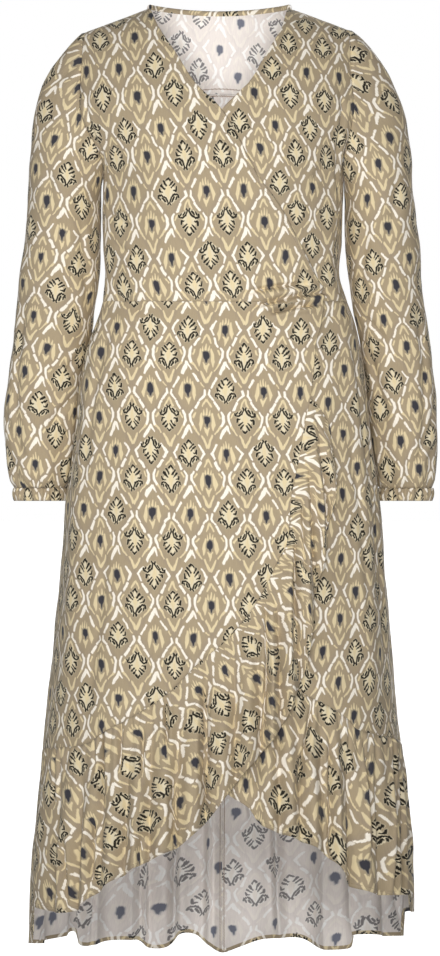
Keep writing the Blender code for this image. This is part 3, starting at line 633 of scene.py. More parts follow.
# Tones of the print on the right and on the wrong side of the cloth
TONES = {
    "ground": (swatch(172, 155, 127), swatch(238, 230, 224)),
    "band": (swatch(165, 149, 126), swatch(231, 223, 218)),
    "cream": (swatch(229, 211, 170), swatch(243, 236, 228)),
    "white": (swatch(254, 246, 231), swatch(255, 253, 250)),
    "light": (swatch(228, 215, 184), swatch(249, 245, 240)),
    "ink": (swatch(34, 30, 22), swatch(134, 130, 130)),
    "spot": (swatch(58, 57, 63), swatch(118, 121, 134)),
    "halo": (swatch(170, 160, 138), swatch(214, 210, 207)),
}
HEM_THREAD, OVERLOCK_THREAD = swatch(120, 106, 80), swatch(150, 122, 100)


def right_side_colour(start):
    """The print, and a line of stitches inside each hem."""
    hem = start.node("UVMap", {"uv_map": "edges"}).part(0) / MM
    stitches = cloth_place(start).vector("DOT_PRODUCT", STITCH_RUN, out=1).math("SINE")
    line = (hem - STITCH_LINE).math("ABSOLUTE").below(*STITCH_EDGE)
    stitches = line * stitches.math("GREATER_THAN", STITCH_GAP)
    colours = {name: right for name, (right, _) in TONES.items()}
    return (stitches * STITCH_SHOWS).colour(printed(start, **colours), HEM_THREAD)


def wrong_side_colour(start):
    """The pale wrong side, with the right side turned up along a hem and overlocked allowances."""
    edges = start.node("UVMap", {"uv_map": "edges"})
    hem, seam = edges.part(0) / MM, edges.part(1) / MM
    turned_up = hem.below(HEM_WIDTH, HEM_BLUR)
    colours = {name: turned_up.colour(wrong, right) for name, (right, wrong) in TONES.items()}
    colour = printed(start, **colours)
    loops = cloth_place(start).vector("DOT_PRODUCT", LOOP_RUN, out=1).math("SINE") * LOOP_DEPTH
    thread = ((seam - ALLOWANCE).math("ABSOLUTE") - loops).below(*THREAD_EDGE)
    return (thread * THREAD_SHOWS).colour(colour, OVERLOCK_THREAD)


right_side = woven("printed_viscose", right_side_colour)
wrong_side = woven("printed_viscose_wrong_side", wrong_side_colour)


def back_neck_edge(columns):
    """The back neck edge, from the left shoulder seam to the right one."""
    x = np.linspace(NECK_HALF, -NECK_HALF, columns)
    return on_form(x, -NECK_DIP * (1 - (x / NECK_HALF) ** 2), behind=True)


NECK_COLUMNS, SHOULDER_COLUMNS = 66, 24
YOKE_ALLOWANCE = 4.4  # how much wider the yoke seam's allowance is (mm)
BACK_COLUMNS = NECK_COLUMNS + 2 * (SHOULDER_COLUMNS - 1)
YOKE_ROWS, ARM_ROWS, BACK_ROWS = 46, 22, 52
# The print of each piece: a spot at x, z, how its rows and columns lean, its stretch and shift
YOKE_PRINT = ((0, -60), -9.5, 2.5, (0.955, 1.06), (26.1, 31.8))
BACK_PRINT = ((14, -250),)

levels = np.linspace(YOKE_SEAM, 0, YOKE_ROWS)
left, right = (armhole(side, True, levels) for side in (1, -1))
neck = back_neck_edge(NECK_COLUMNS)
left_shoulder = np.linspace(left[-1], neck[0], SHOULDER_COLUMNS)
right_shoulder = np.linspace(neck[-1], right[-1], SHOULDER_COLUMNS)
top = np.concatenate([left_shoulder[:-1], neck, right_shoulder[1:]])
net = spread(np.linspace(left[0], right[0], BACK_COLUMNS), top, left, right)
place = print_from(net, *YOKE_PRINT, middle=np.pi, behind=True)
back_yoke = panel("back_yoke", lay(net, worn(net)), place, "blrt", "", "b", wider=YOKE_ALLOWANCE)

levels = np.linspace(WAIST, UNDERARM, BACK_ROWS)
levels = np.concatenate([levels, np.linspace(UNDERARM, YOKE_SEAM, ARM_ROWS)[1:]])
left, right = (armhole(side, True, levels) for side in (1, -1))
waist, seam = (np.linspace(left[row], right[row], BACK_COLUMNS) for row in (0, -1))
net = spread(waist, seam, left, right)
place = print_from(net, *BACK_PRINT, middle=np.pi, behind=True)
bodice_back = panel("bodice_back", lay(net, worn(net)), place, "btlr", "", "btlr")


# ---- Bound back neck edge ----
# A narrow strip of the same cloth, folded over the back neck edge and stitched through, so that
# it stands as a small round rim between the two shoulder seams.

# Section of the folded strip, from outside over the top to inside: out, up (mm)
BINDING = ((1.2, -1.5), (1.5, 1.5), (1.2, 4.0), (0, 5.3), (-1.2, 4.0), (-1.5, 1.5), (-1.2, -1.5))
BINDING_COLUMNS, BINDING_LEAN, BINDING_SHIFT = 90, 20, (8, 30)

edge = back_neck_edge(BINDING_COLUMNS)
foot = form_point(edge[:, 0], edge[:, 1])
back = form_normal(edge[:, 0], edge[:, 1]) * (1, 1, 0)
back /= np.linalg.norm(back, axis=-1, keepdims=True)
points = np.stack([foot + back * out * MM + np.array([0, 0, up * MM]) for out, up in BINDING])
place = np.stack([lengths(points.swapaxes(0, 1)).T, lengths(points)], axis=-1)
binding = panel("neck_binding", points, turned(place, BINDING_LEAN, shift=BINDING_SHIFT), "")


# ---- Crossed fronts of the bodice ----
# Two fronts cross in a V neck. The right one lies on top and ends in a point at the left of the
# waist, where small tucks fan out from it. Their long edges are turned in and stitched.

WRAP_LIFT = 3.6 * MM  # how far the right front lies outside the left front
WRAP_START, WRAP_FADE, WRAP_SHOULDER = -84, 30, 70 * MM
# Waist seam of the right front: angle (degrees), z (mm)
WRAP_WAIST = ((-90, -412), (10, -413), (19, -418), (32, -416), (42, -409), (53, -401))
# Free edge of the right front, from the waist to the neck: x, z (mm)
RIGHT_EDGE = (
    (142, -401), (131, -375), (108, -325), (83, -279), (29, -190), (3, -146), (-30, -113),
    (-54, -77), (-86, -27), (-100, 0),
)
# Free edge of the left front: x, z (mm)
LEFT_EDGE = (
    (-137, -412), (-103, -325), (-78, -279), (-24, -190), (3, -146), (26, -122), (48, -97),
    (79, -43), (89, -22), (98, 0),
)
# Tucks that fan out from the wrap's end: first angle, height, second angle, height, width, rise
TUCKS = (
    (52, -392, 16, -397, 6, 3.2),
    (52, -402, 20, -406, 5, 2.6),
    (52, -424, 22, -423, 6, 3.2),
)
FRONT_ROWS, FRONT_COLUMNS = (84, 78), 118  # rows below and above the underarm
PATH_STEPS = 12
NEAR_SIDE = 0.9  # angle from which a route is drawn on to the side seam (radians)
RIGHT_PRINT = ((-40, -180), -1.5, 4, (1.015, 0.97), (66.1, 27.7))
LEFT_PRINT = ((60, -180), 6.5, 0.5, (1.045, 1.075), (5.7, 20.9))


def path(points):
    """A finely divided route through points of angle and level."""
    points = np.asarray(points, float)
    keys = np.arange(len(points))
    fine = np.linspace(0, len(points) - 1, PATH_STEPS * (len(points) - 1) + 1)
    return np.stack([smooth_lookup(fine, keys, points[:, n]) for n in (0, 1)], axis=-1)


def front_path(table):
    """A route through a table of x, z (mm), seen from the front."""
    table = np.array(table) * MM
    return path(on_form(table[:, 0], table[:, 1]))


def round_path(table):
    """A route through a table of angle (degrees), z (mm)."""
    return path(np.array(table) * (np.pi / 180, MM))


def at_shares(route, shares):
    """Points of a route at shares of its length in the cloth."""
    steps = np.diff(route, axis=0) * (MEAN_RADIUS, 1)
    length = np.concatenate([[0], np.cumsum(np.linalg.norm(steps, axis=1))])
    return np.stack([np.interp(shares, length / length[-1], route[:, n]) for n in (0, 1)], axis=-1)


def at_angles(route, angles):
    """Points of a route at given angles round the body."""
    return np.stack([angles, np.interp(angles, route[:, 0], route[:, 1])], axis=-1)


def to_side(route, side):
    """A route whose end is drawn on round to the side seam, so that it meets the back there."""
    end = abs(route[-1 if side > 0 else 0, 0])
    share = smoothstep((route[:, 0] * side - NEAR_SIDE) / (end - NEAR_SIDE))
    return route + np.stack([side * (np.pi / 2 - end) * share, 0 * share], axis=-1)


def wrap_over(net):
    """How far the right front lies outside the left front: nothing at its side and shoulder."""
    from_side = smoothstep((np.degrees(net[..., 0]) - WRAP_START) / WRAP_FADE)
    return WRAP_LIFT * from_side * smoothstep(-net[..., 1] / WRAP_SHOULDER)


def wrap_waist(columns):
    """The waist seam that the right front's bodice and skirt share."""
    free_end = front_path(RIGHT_EDGE)[0, 0]
    return at_angles(round_path(WRAP_WAIST), np.linspace(-np.pi / 2, free_end, columns))


def front_net(side, edge, waist):
    """A crossed front: waist seam below, side seam and armhole outside, free edge inside."""
    below, above = FRONT_ROWS
    levels = np.linspace(WAIST, UNDERARM, below)
    levels = np.concatenate([levels, np.linspace(UNDERARM, 0, above)[1:]])
    outer = armhole(side, False, levels)
    inner = at_shares(front_path(edge), np.linspace(0, 1, len(levels)))
    return spread(waist, np.linspace(outer[-1], inner[-1], len(waist)), outer, inner)


def wrapped(net):
    """How far the right front and the right skirt are lifted, over the left ones."""
    return wrap_over(net) + worn(net) + ridges(net, TUCKS)


net = front_net(-1, RIGHT_EDGE, wrap_waist(FRONT_COLUMNS))
place = print_from(net, *RIGHT_PRINT)
bodice_right = panel("bodice_front_right", lay(net, wrapped(net)), place, "btl", "r", "bl")

waist = np.linspace((np.pi / 2, WAIST), front_path(LEFT_EDGE)[0], FRONT_COLUMNS)
net = front_net(1, LEFT_EDGE, waist)[:, ::-1]
place = print_from(net, *LEFT_PRINT)
bodice_left = panel("bodice_front_left", lay(net, worn(net)), place, "btr", "l", "br")


# ---- Skirt ----
# Four flared panels under a waist seam: two halves of the back, a left front that runs on under
# the wrap, and the right front on top of it. They hang in long soft folds.

# Free edge of the right front skirt, from the waist to the top of the ruffle: x, z (mm)
SKIRT_EDGE = ((142, -401), (140, -444), (133, -469), (129, -517), (125, -549))
# Seam of the right front skirt and its flounce, from the side seam: x, z (mm)
RIGHT_SEAM = (
    (-247, -1037), (-194, -1030), (-155, -1009), (-111, -984), (-69, -955), (-27, -913), (8, -885),
    (51, -832), (79, -777), (94, -745), (99, -686), (111, -624), (118, -580), (125, -549),
)
# Seam of the left front skirt and its flounce, from the hidden free edge: x, z (mm)
LEFT_SEAM = (
    (-60, -850), (-10, -880), (50, -915), (113, -955), (158, -979), (181, -995), (201, -1011),
    (254, -1028),
)
BACK_SEAM = ((90, -1028), (180, -1062), (270, -1037))  # angle (degrees), z (mm)
HIDDEN_START = -100 * MM
SKIRT_ROWS, SKIRT_COLUMNS, BACK_SKIRT_COLUMNS = 122, 150, 118
CLOSER = 1.3  # over 1, so that the rows lie closer at the waist
RIGHT_SKIRT_PRINT = ((-16, -487), 1.5, 1.5, (1.015, 1.015), (2.4, 1.5))
LEFT_SKIRT_PRINT = ((196, -480), 2.5, -1.5, (1.03, 1.015), (56.5, 29.3))
# Halves of the skirt's back: from which angle, to which (degrees), and a spot at x, z (mm)
SKIRT_BACKS = {"left": (90, 180, (60, -480)), "right": (180, 270, (-60, -480))}

seam = at_shares(front_path(RIGHT_SEAM), np.linspace(0, 1, SKIRT_COLUMNS))
down = np.linspace(1, 0, SKIRT_ROWS) ** CLOSER
free = at_shares(front_path(SKIRT_EDGE), down)
side = np.stack([np.full(SKIRT_ROWS, -np.pi / 2), WAIST + (seam[0, 1] - WAIST) * down], axis=-1)
net = spread(seam, wrap_waist(SKIRT_COLUMNS), side, free)
place = print_from(net, *RIGHT_SKIRT_PRINT)
skirt_right = panel("skirt_front_right", lay(net, wrapped(net)), place, "btl", "r", "tl")

seam = at_shares(to_side(front_path(LEFT_SEAM), 1), np.linspace(0, 1, SKIRT_COLUMNS))
start = on_form(HIDDEN_START, WAIST)
side = np.linspace((np.pi / 2, seam[-1, 1]), (np.pi / 2, WAIST), SKIRT_ROWS)
waist = np.linspace(start, side[-1], SKIRT_COLUMNS)
net = spread(seam, waist, np.linspace(seam[0], start, SKIRT_ROWS), side)
place = print_from(net, *LEFT_SKIRT_PRINT)
skirt_left = panel("skirt_front_left", lay(net, worn(net)), place, "btr", "l", "tr")

for name, (first, last, spot) in SKIRT_BACKS.items():
    angles = np.radians(np.linspace(first, last, BACK_SKIRT_COLUMNS))
    seam = at_angles(round_path(BACK_SEAM), angles)
    waist = np.stack([angles, np.full(len(angles), WAIST)], axis=-1)
    net = between(seam, waist, SKIRT_ROWS)
    place = print_from(net, spot, middle=np.pi, behind=True)
    skirt_back = panel("skirt_back_" + name, lay(net, worn(net)), place, "btlr", "", "btlr")


# ---- Flounces and ruffle ----
# Strips gathered on to the skirt's lower edge, with a narrow rolled hem. The right front one runs
# on up the wrap's free edge, where it narrows to a point and stands off as a ruffle.

# Lower edge of the right flounce, from the side seam to the ruffle's widest part: x, z (mm)
RIGHT_HEM = (
    (-260, -1247), (-225, -1262), (-194, -1257), (-159, -1227), (-104, -1193), (-51, -1166),
    (-12, -1128), (10, -1099), (34, -1067), (54, -1044), (86, -1000), (103, -959), (115, -927),
    (122, -876), (128, -827), (136, -783), (152, -686), (153, -640),
)
# Upper edge of the ruffle, from its tip to its widest part: x, z (mm)
RUFFLE_TOP = ((125, -549), (136, -558), (145, -573), (152, -590), (153, -620))
# Hem of the left flounce, from the hidden free edge: x, z (mm)
LEFT_HEM = (
    (-60, -1020), (-27, -1060), (10, -1095), (40, -1115), (61, -1141), (111, -1161), (138, -1175),
    (153, -1187), (167, -1204), (177, -1221), (197, -1231), (223, -1238), (266, -1240),
)
# Hem of the back: angle (degrees), z (mm)
BACK_HEM = (
    (90, -1250), (92, -1265), (106, -1269), (109, -1299), (122, -1304), (136, -1304),
    (139.5, -1324), (149, -1324), (157, -1310), (167, -1312), (175, -1324), (180, -1330),
    (184, -1321), (188, -1306), (193, -1305), (197, -1323), (202, -1325), (207, -1312),
    (220, -1316), (226.5, -1319), (229, -1299), (241, -1308), (252, -1312), (266, -1309),
    (268.5, -1300), (270, -1250),
)
# Which part of the right flounce's hem hangs from which part of its seam: shares of their lengths
STRIP = (
    (0, 0), (0.16, 0.13), (0.29, 0.25), (0.43, 0.37), (0.57, 0.55), (0.66, 0.66), (0.71, 0.75),
    (0.8, 0.85), (0.89, 0.94), (1, 1),
)
# Where the flounces draw in to their seams (degrees)
RIGHT_VALLEYS = (-90, -61, -49, -40, -31, -23, -14, -5, 4.2, 12, 19, 26, 33, 39, 46)
LEFT_VALLEYS = (-13, 1, 10, 18, 25, 33, 43, 56, 71, 90)
BACK_VALLEYS = (90, 107, 121, 134, 147, 162, 180, 195, 209, 222, 236, 252, 270)
# Creases of the flounces: first angle, level, second angle, level (degrees, mm), half width, depth
RIGHT_CREASES = (
    (-41.4, -1009, -40.4, -1105, 3.6, -10), (-42.8, -1130, -42.6, -1222, 4.3, -14),
    (-5.7, -945, -5.4, -1130, 4.3, -14), (-66, -1042, -65, -1110, 3.6, -10),
    (-55, -1160, -52.6, -1256, 4.3, -11), (-15.5, -1075, -15, -1170, 3.6, -10),
    (-26, -1008, -25.7, -1075, 3.2, -8), (-18.4, -962, -17.7, -1040, 3.2, -8),
    (-34, -998, -33.7, -1074, 3.2, -8), (-25.3, -1155, -25.7, -1205, 3.6, -8),
    (14.9, -908, 12.8, -1036, 4.3, -13), (26.4, -752, 23.8, -913, 3.6, -10),
    (29.4, -689, 28.3, -808, 3.2, -8), (35, -660, 35, -730, 2.9, -7),
    (15, -832, 14.6, -969, 3.2, -8),
)
LEFT_CREASES = (
    (36.6, -1020, 34.9, -1195, 4.3, -13), (53, -1050, 51, -1182, 4.3, -14),
    (72, -1010, 62, -1245, 5.0, -15), (75.2, -1070, 72.8, -1245, 3.6, -10),
    (30.6, -976, 23.9, -1085, 3.6, -10), (41.6, -1145, 41.1, -1210, 3.6, -10),
    (84, -1040, 82, -1200, 3.6, -10),
)
BACK_CREASES = (
    (98, -1060, 99, -1190, 3.6, -10), (109, -1090, 109, -1290, 4.3, -14),
    (126, -1070, 125, -1180, 3.6, -10), (136, -1110, 136, -1315, 4.3, -15),
    (149, -1066, 150, -1170, 3.6, -10), (163, -1100, 162, -1305, 5.0, -15),
    (172, -1064, 171, -1150, 3.6, -8), (184, -1130, 184, -1318, 3.6, -10),
    (195, -1070, 195, -1315, 4.3, -14), (204, -1150, 203.6, -1320, 3.6, -10),
    (215, -1068, 214, -1180, 3.6, -10), (225, -1110, 225, -1315, 4.3, -15),
    (240, -1062, 241, -1220, 3.6, -10), (256, -1110, 255, -1300, 4.3, -13),
)
WAVE_DEPTH, WAVE_SINK, WAVE_DROP = 20 * MM, 5 * MM, 150 * MM
SIDE_WAVE, SIDE_ROUND = 0.35, 0.7
CREST = 0.6  # under 1, so that the crests are broader than the valleys
RUFFLE_LIFT, RUFFLE_ANGLE, RUFFLE_FADE = 7 * MM, -6, 16
UNDER_DIP, COVERED_ANGLE, COVERED_FADE = 4 * MM, 6, 14
BACK_SWING = 4 * MM
DRAWN_IN, DRAWN_REACH = 8 * MM, 26  # of the print into a crease
LIFT_DROP = 60 * MM
FLOUNCE_ROWS, RIGHT_COLUMNS, LEFT_COLUMNS, BACK_FLOUNCE_COLUMNS = 50, 460, 270, 240
PUCKERS = (11, 2.8, 3.2, 58)  # fine gathers: pitch, width, depth, reach (mm)
PUCKER_START, PUCKER_SWELL = 5 * MM, 0.3
# How each gather varies: its place in the pitch, its slant, depth, length and width
PUCKER_PLACE, PUCKER_SLANT = (0.15, 0.85), (-0.2, 0.2)
PUCKER_DEPTH, PUCKER_LENGTH, PUCKER_WIDTH = (0.3, 1.1), (0.45, 1.4), (0.7, 1.4)
RIGHT_STRIP_PRINT = (2, 22, (0.98, 1.06), (56.2, 146.1))
LEFT_STRIP_PRINT = (-8, 4, (0.94, 0.94), (23.9, 127.5))
# Halves of the back flounce: from which angle, to which (degrees), and the lie of the print
BACK_FLOUNCES = {
    "left": (90, 180, (8, 0, (0.94, 1.06), (106.7, 148.6))),
    "right": (180, 270, (8, 6, (0.94, 1.02), (16.5, 149.1))),
}


def waves(angles, valleys):
    """Gathers of a flounce: 0 where it is drawn in, 1 at the crest of each wave."""
    number = np.interp(angles, np.radians(valleys), np.arange(len(valleys)))
    return np.sin(np.pi * number) ** 2


def puckers(along, below, sizes, seed):
    """Fine gathers under a seam, each with its own place, depth, length and slant."""
    pitch, width, depth, reach = np.array(sizes) * MM
    random = np.random.default_rng(seed)
    lift = np.zeros(below.shape)
    for number in range(int(along.max() / pitch)):
        middle = (number + random.uniform(*PUCKER_PLACE)) * pitch
        slant = random.uniform(*PUCKER_SLANT)
        size = depth * random.uniform(*PUCKER_DEPTH)
        far = reach * random.uniform(*PUCKER_LENGTH)
        aside = (along - middle - slant * below) / (width * random.uniform(*PUCKER_WIDTH))
        lift -= size * np.exp(-(aside**2)) * np.exp(-((below / far) ** 2))
    swell = PUCKER_SWELL * depth * np.exp(-((below / reach) ** 2))
    return (lift + swell) * smoothstep(below / PUCKER_START)


def below_seam(net, seam):
    """How far below its seam each place of a flounce hangs."""
    return np.interp(net[..., 0], seam[:, 0], seam[:, 1]) - net[..., 1]


def flounce(name, net, drop, lift, valleys, creases, seed, askew, sewn, hemmed, covered=0):
    """A flounce: its waves and creases, the puckers under its seam, and its own lift. The print's
    width lies along the strip, and it is drawn into the creases."""
    growth = smoothstep(drop / WAVE_DROP)
    from_side = SIDE_WAVE + (1 - SIDE_WAVE) * np.abs(np.cos(net[..., 0])) ** SIDE_ROUND
    wave = WAVE_DEPTH * waves(net[..., 0], valleys) ** CREST - WAVE_SINK
    depth = wave * growth * from_side * (1 - covered)
    flat = form_point(net[..., 0], net[..., 1])
    along = lengths(flat.swapaxes(0, 1)).T
    below = lengths(flat[::-1])[::-1]
    fine = puckers(along[-1:], below, PUCKERS, seed)
    drawn_in = np.zeros(below.shape)
    for *line, width, fall in creases:
        share, aside = beside(net, line)
        fine += creased(share, aside, 0, width, fall)
        near = np.exp(-((aside / DRAWN_REACH) ** 2))
        drawn_in -= DRAWN_IN * run_out(share) * np.tanh(aside / width) * near
    points = lay(net, worn(net) + depth + fine * (1 - covered) + lift)
    place = np.stack([along[len(along) // 2] + drawn_in, -below], axis=-1)
    return panel("flounce_" + name, points, turned(place, *askew), sewn, hemmed, sewn)


column = np.linspace(0, 1, RIGHT_COLUMNS)
ruffle = front_path((RIGHT_HEM[-1], *RUFFLE_TOP[::-1]))
seam = at_shares(front_path(RIGHT_SEAM), column)
hem = at_shares(to_side(front_path(RIGHT_HEM), -1), np.interp(column, *zip(*STRIP)))
rows = np.linspace(0, 1, FLOUNCE_ROWS)
net = spread(hem, seam, np.linspace(hem[0], seam[0], FLOUNCE_ROWS), at_shares(ruffle, rows))
upper = np.concatenate([front_path(RIGHT_SEAM), front_path(RUFFLE_TOP)[1:]])
over = smoothstep((np.degrees(net[..., 0]) - RUFFLE_ANGLE) / RUFFLE_FADE)
drop = below_seam(net, upper)
lift = wrap_over(net) + RUFFLE_LIFT * over * smoothstep(drop / LIFT_DROP)
gathers = (RIGHT_VALLEYS, RIGHT_CREASES, 3)
strip = flounce("front_right", net, drop, lift, *gathers, RIGHT_STRIP_PRINT, "tl", "br")

column = np.linspace(0, 1, LEFT_COLUMNS)
upper = to_side(front_path(LEFT_SEAM), 1)
seam, hem = at_shares(upper, column), at_shares(to_side(front_path(LEFT_HEM), 1), column)
net = between(hem, seam, FLOUNCE_ROWS)
covered = 1 - smoothstep((np.degrees(net[..., 0]) - COVERED_ANGLE) / COVERED_FADE)
drop = below_seam(net, upper)
lift = -UNDER_DIP * covered * smoothstep(drop / LIFT_DROP)
gathers = (LEFT_VALLEYS, LEFT_CREASES, 5)
strip = flounce("front_left", net, drop, lift, *gathers, LEFT_STRIP_PRINT, "tr", "bl", covered)

upper = round_path(BACK_SEAM)
for name, (first, last, askew) in BACK_FLOUNCES.items():
    angles = np.radians(np.linspace(first, last, BACK_FLOUNCE_COLUMNS))
    seam, hem = at_angles(upper, angles), at_angles(round_path(BACK_HEM), angles)
    net = between(hem, seam, FLOUNCE_ROWS)
    drop = below_seam(net, upper)
    lift = BACK_SWING * np.abs(np.cos(net[..., 0])) * smoothstep(drop / WAVE_DROP)
    gathers = (BACK_VALLEYS, BACK_CREASES, first)
    strip = flounce("back_" + name, net, drop, lift, *gathers, askew, "tlr", "b")


# ---- Sleeves ----
# Long, full sleeves. Each has one seam under the arm, a head that is gathered into the armhole
# over the shoulder, and a lower end that is gathered into its cuff.

# Sections of the sleeves: height, right outer, right inner, left outer, left inner, set back,
# half depth (mm)
SLEEVE = (
    (-672, -288, -212, 299, 225, 58, 31), (-655, -293, -207, 301, 220, 58, 37),
    (-627, -299, -199, 304, 213, 59, 41), (-580, -303, -193, 305, 207, 60, 43),
    (-507, -296, -187, 300, 201, 56, 45), (-440, -286, -177, 291, 192, 44, 48),
    (-382, -281, -170, 284, 182, 30, 51), (-319, -273, -166.5, 279, 176, 18, 55),
    (-262, -268, -166.5, 272, 175.5, 10, 58),
)
CUFF_TOP = -672 * MM
HEAD_ANGLE_TOP, HEAD_ANGLE_UNDER, UNDER_SHARE = 36, 76, 1.6
HEAD_REACH, HEAD_LEAN = 0.4, 0.06
SLEEVE_CLEARANCE = 0.3 * MM
SLEEVE_WAVES = 9
CUFF_GATHER, CUFF_GATHER_RISE, CUFF_GATHER_END = 4 * MM, 12 * MM, 110 * MM
HEAD_PUFF, HEAD_PUFF_START, HEAD_PUFF_REACH = 1.8 * MM, 6 * MM, 45 * MM
CUFF_PUCKERS, HEAD_PUCKERS = (9, 2.4, 2.4, 40), (9, 2.4, 3.0, 40)
SLEEVE_UNEVEN = ((45, 2.2), (17, 0.5))  # size, depth (mm)
TUBE_ROWS, HEAD_ROWS, ROUND_COLUMNS, ARMHOLE_STEPS = 110, 44, 97, 80
SLEEVE_RADIUS = 50 * MM
# How askew the print lies on each: its rows and columns (degrees), stretch, shift (mm)
SLEEVE_PRINT = {
    -1: (10.5, -1.5, (1.045, 1.06), (114.5, 162.9)),
    1: (-4.5, 2.5, (1.015, 1.015), (54.1, 50.6)),
}
# Creases: first angle from the outer side round by the front, height, second angle, height
# (degrees, mm), bend, half width, depth (mm)
SLEEVE_CREASES = {
    -1: (
        (147, -536, 100, -592, 5, 4, -5.1), (146, -486, 118, -510, 3, 4, -3.6),
        (36, -409, 62, -640, 8, 6, -3.9), (120, -300, 146, -420, 4, 6, -3.3),
        (60, -230, 96, -330, 4, 7, -3.0), (20, -560, 70, -636, 4, 5, -3.0),
        (250, -520, 210, -586, 5, 5, -4.5), (300, -380, 262, -600, -8, 7, -3.9),
        (214, -300, 236, -430, 5, 7, -3.3),
    ),
    1: (
        (150, -466, 118, -585, 6, 5, -4.5), (142, -430, 104, -470, 4, 4, -3.6),
        (40, -420, 66, -640, 8, 6, -3.9), (116, -300, 142, -410, 4, 6, -3.3),
        (58, -240, 92, -340, 4, 7, -3.0), (24, -560, 74, -640, 4, 5, -3.0),
        (246, -500, 208, -580, 5, 5, -4.5), (304, -390, 268, -610, -8, 7, -3.9),
        (216, -310, 240, -440, 5, 7, -3.3),
    ),
}


def ring(side, section, turn):
    """A level ring of a sleeve's section, from its outer side round by the front."""
    height, *edges, back, depth = section
    outer, inner = edges[:2] if side < 0 else edges[2:]
    x = (outer + inner) / 2 + (outer - inner) / 2 * np.cos(turn)
    return np.stack(np.broadcast_arrays(x, back - depth * np.sin(turn), height), axis=-1)


def sleeve_rings(side, heights, turn):
    """Rings of a sleeve at its heights."""
    keys, *columns = (np.array(SLEEVE) * MM).T
    section = [heights] + [smooth_lookup(heights, keys, column) for column in columns]
    return ring(side, [values[:, None] for values in section], turn)


def turned_round(side, points, place):
    """A left tube's grid, with its columns in the order that makes it face outwards."""
    return (points[:, ::-1], place[:, ::-1] * (-1, 1)) if side > 0 else (points, place)


def armhole_ring(side, columns):
    """The armhole's seam line, from the shoulder down its front and up its back."""
    levels = np.linspace(0, UNDERARM, ARMHOLE_STEPS)
    front, back = armhole(side, False, levels), armhole(side, True, levels[::-1])
    over = wrap_over(front) if side < 0 else 0
    halves = []
    for line, lift in ((front, worn(front) + over), (back, worn(back))):
        line = lay(line, lift)
        length = lengths(line[:, None])[:, 0]
        places = np.linspace(0, length[-1], columns // 2 + 1)
        line = [np.interp(places, length, line[:, n]) for n in range(3)]
        halves.append(np.stack(line, axis=-1))
    return np.concatenate([halves[0][:-1], halves[1]])


def sleeve_head(side, turn, end):
    """The rings that curve from the top of the tube to the armhole."""
    under = (1 - np.cos(turn)) / 2
    start = armhole_ring(side, len(turn) - 1)
    start[:, 0] += side * SLEEVE_CLEARANCE
    steepness = smoothstep(under * UNDER_SHARE)
    dive = np.radians(HEAD_ANGLE_TOP + (HEAD_ANGLE_UNDER - HEAD_ANGLE_TOP) * steepness)
    leave = np.stack([side * np.cos(dive), np.zeros_like(dive), -np.sin(dive)], axis=-1)
    arrive = np.array([side * HEAD_LEAN, 0, -1])
    reach = HEAD_REACH * np.linalg.norm(end - start, axis=-1, keepdims=True)
    from_start, from_end = start + leave * reach, end - arrive * reach
    t = np.linspace(1, 0, HEAD_ROWS)[1:, None, None]
    near_start = start * (1 - t) ** 3 + from_start * 3 * t * (1 - t) ** 2
    return near_start + from_end * 3 * t**2 * (1 - t) + end * t**3


for name, side, seed in (("right", -1, 11), ("left", 1, 12)):
    turn = np.linspace(0, 2 * np.pi, ROUND_COLUMNS)
    heights = np.linspace(SLEEVE[0][0], SLEEVE[-1][0], TUBE_ROWS) * MM
    tube = sleeve_rings(side, heights, turn)
    points = np.concatenate([tube, sleeve_head(side, turn, tube[-1])])
    facing = outward(points[:, ::-side], True)[:, ::-side]
    turns = np.broadcast_to(turn, points.shape[:2])
    around = turns * SLEEVE_RADIUS
    outer_side = smoothstep(np.cos(turn) * 2)
    # gathered above the cuff
    above_cuff = points[..., 2] - CUFF_TOP
    near_cuff = 1 - smoothstep(above_cuff / CUFF_GATHER_END)
    near_cuff = smoothstep(above_cuff / CUFF_GATHER_RISE) * near_cuff
    lift = np.sin(SLEEVE_WAVES * turn / 2) ** 2 * near_cuff * CUFF_GATHER
    lift = lift + puckers(around, lengths(points), CUFF_PUCKERS, seed)
    # and round the outer side of the head
    below_head = lengths(points[::-1])[::-1]
    lift = lift + puckers(around, below_head, HEAD_PUCKERS, seed + 8) * outer_side
    puff = np.exp(-((below_head / HEAD_PUFF_REACH) ** 2)) * smoothstep(below_head / HEAD_PUFF_START)
    lift = lift + HEAD_PUFF * puff * outer_side
    net = np.stack([turns, points[..., 2]], axis=-1)
    for *line, bend, width, depth in SLEEVE_CREASES[side]:
        lift = lift + creased(*beside(net, line, SLEEVE_RADIUS), bend, width, depth)
    points = points + facing * uneven(points, lift, SLEEVE_UNEVEN)[..., None]
    # the grid is cut open again at the seam under the arm
    back, front = slice(ROUND_COLUMNS // 2, None), slice(1, ROUND_COLUMNS // 2 + 1)
    around = [around[:, back] - 2 * np.pi * SLEEVE_RADIUS, around[:, front]]
    around = np.concatenate(around, axis=1)
    points = np.concatenate([points[:, back], points[:, front]], axis=1)
    place = np.stack([around, lengths(points)], axis=-1)
    points, place = turned_round(side, points, place)
    place = turned(place, *SLEEVE_PRINT[side])
    sleeve = panel("sleeve_" + name, points, place, "btlr", closed=True)


# ---- Cuffs ----
# A narrow casing of the same cloth, folded round an elastic that gathers it.

CUFF_END = (-690, -287, -212, 297, 226, 58, 29)  # its section, as those of the sleeves
CUFF_ROWS, CUFF_COLUMNS = 9, 169
CUFF_FOLDS, CUFF_FOLD, CUFF_BULGE = 26, 1.6 * MM, 1.8 * MM

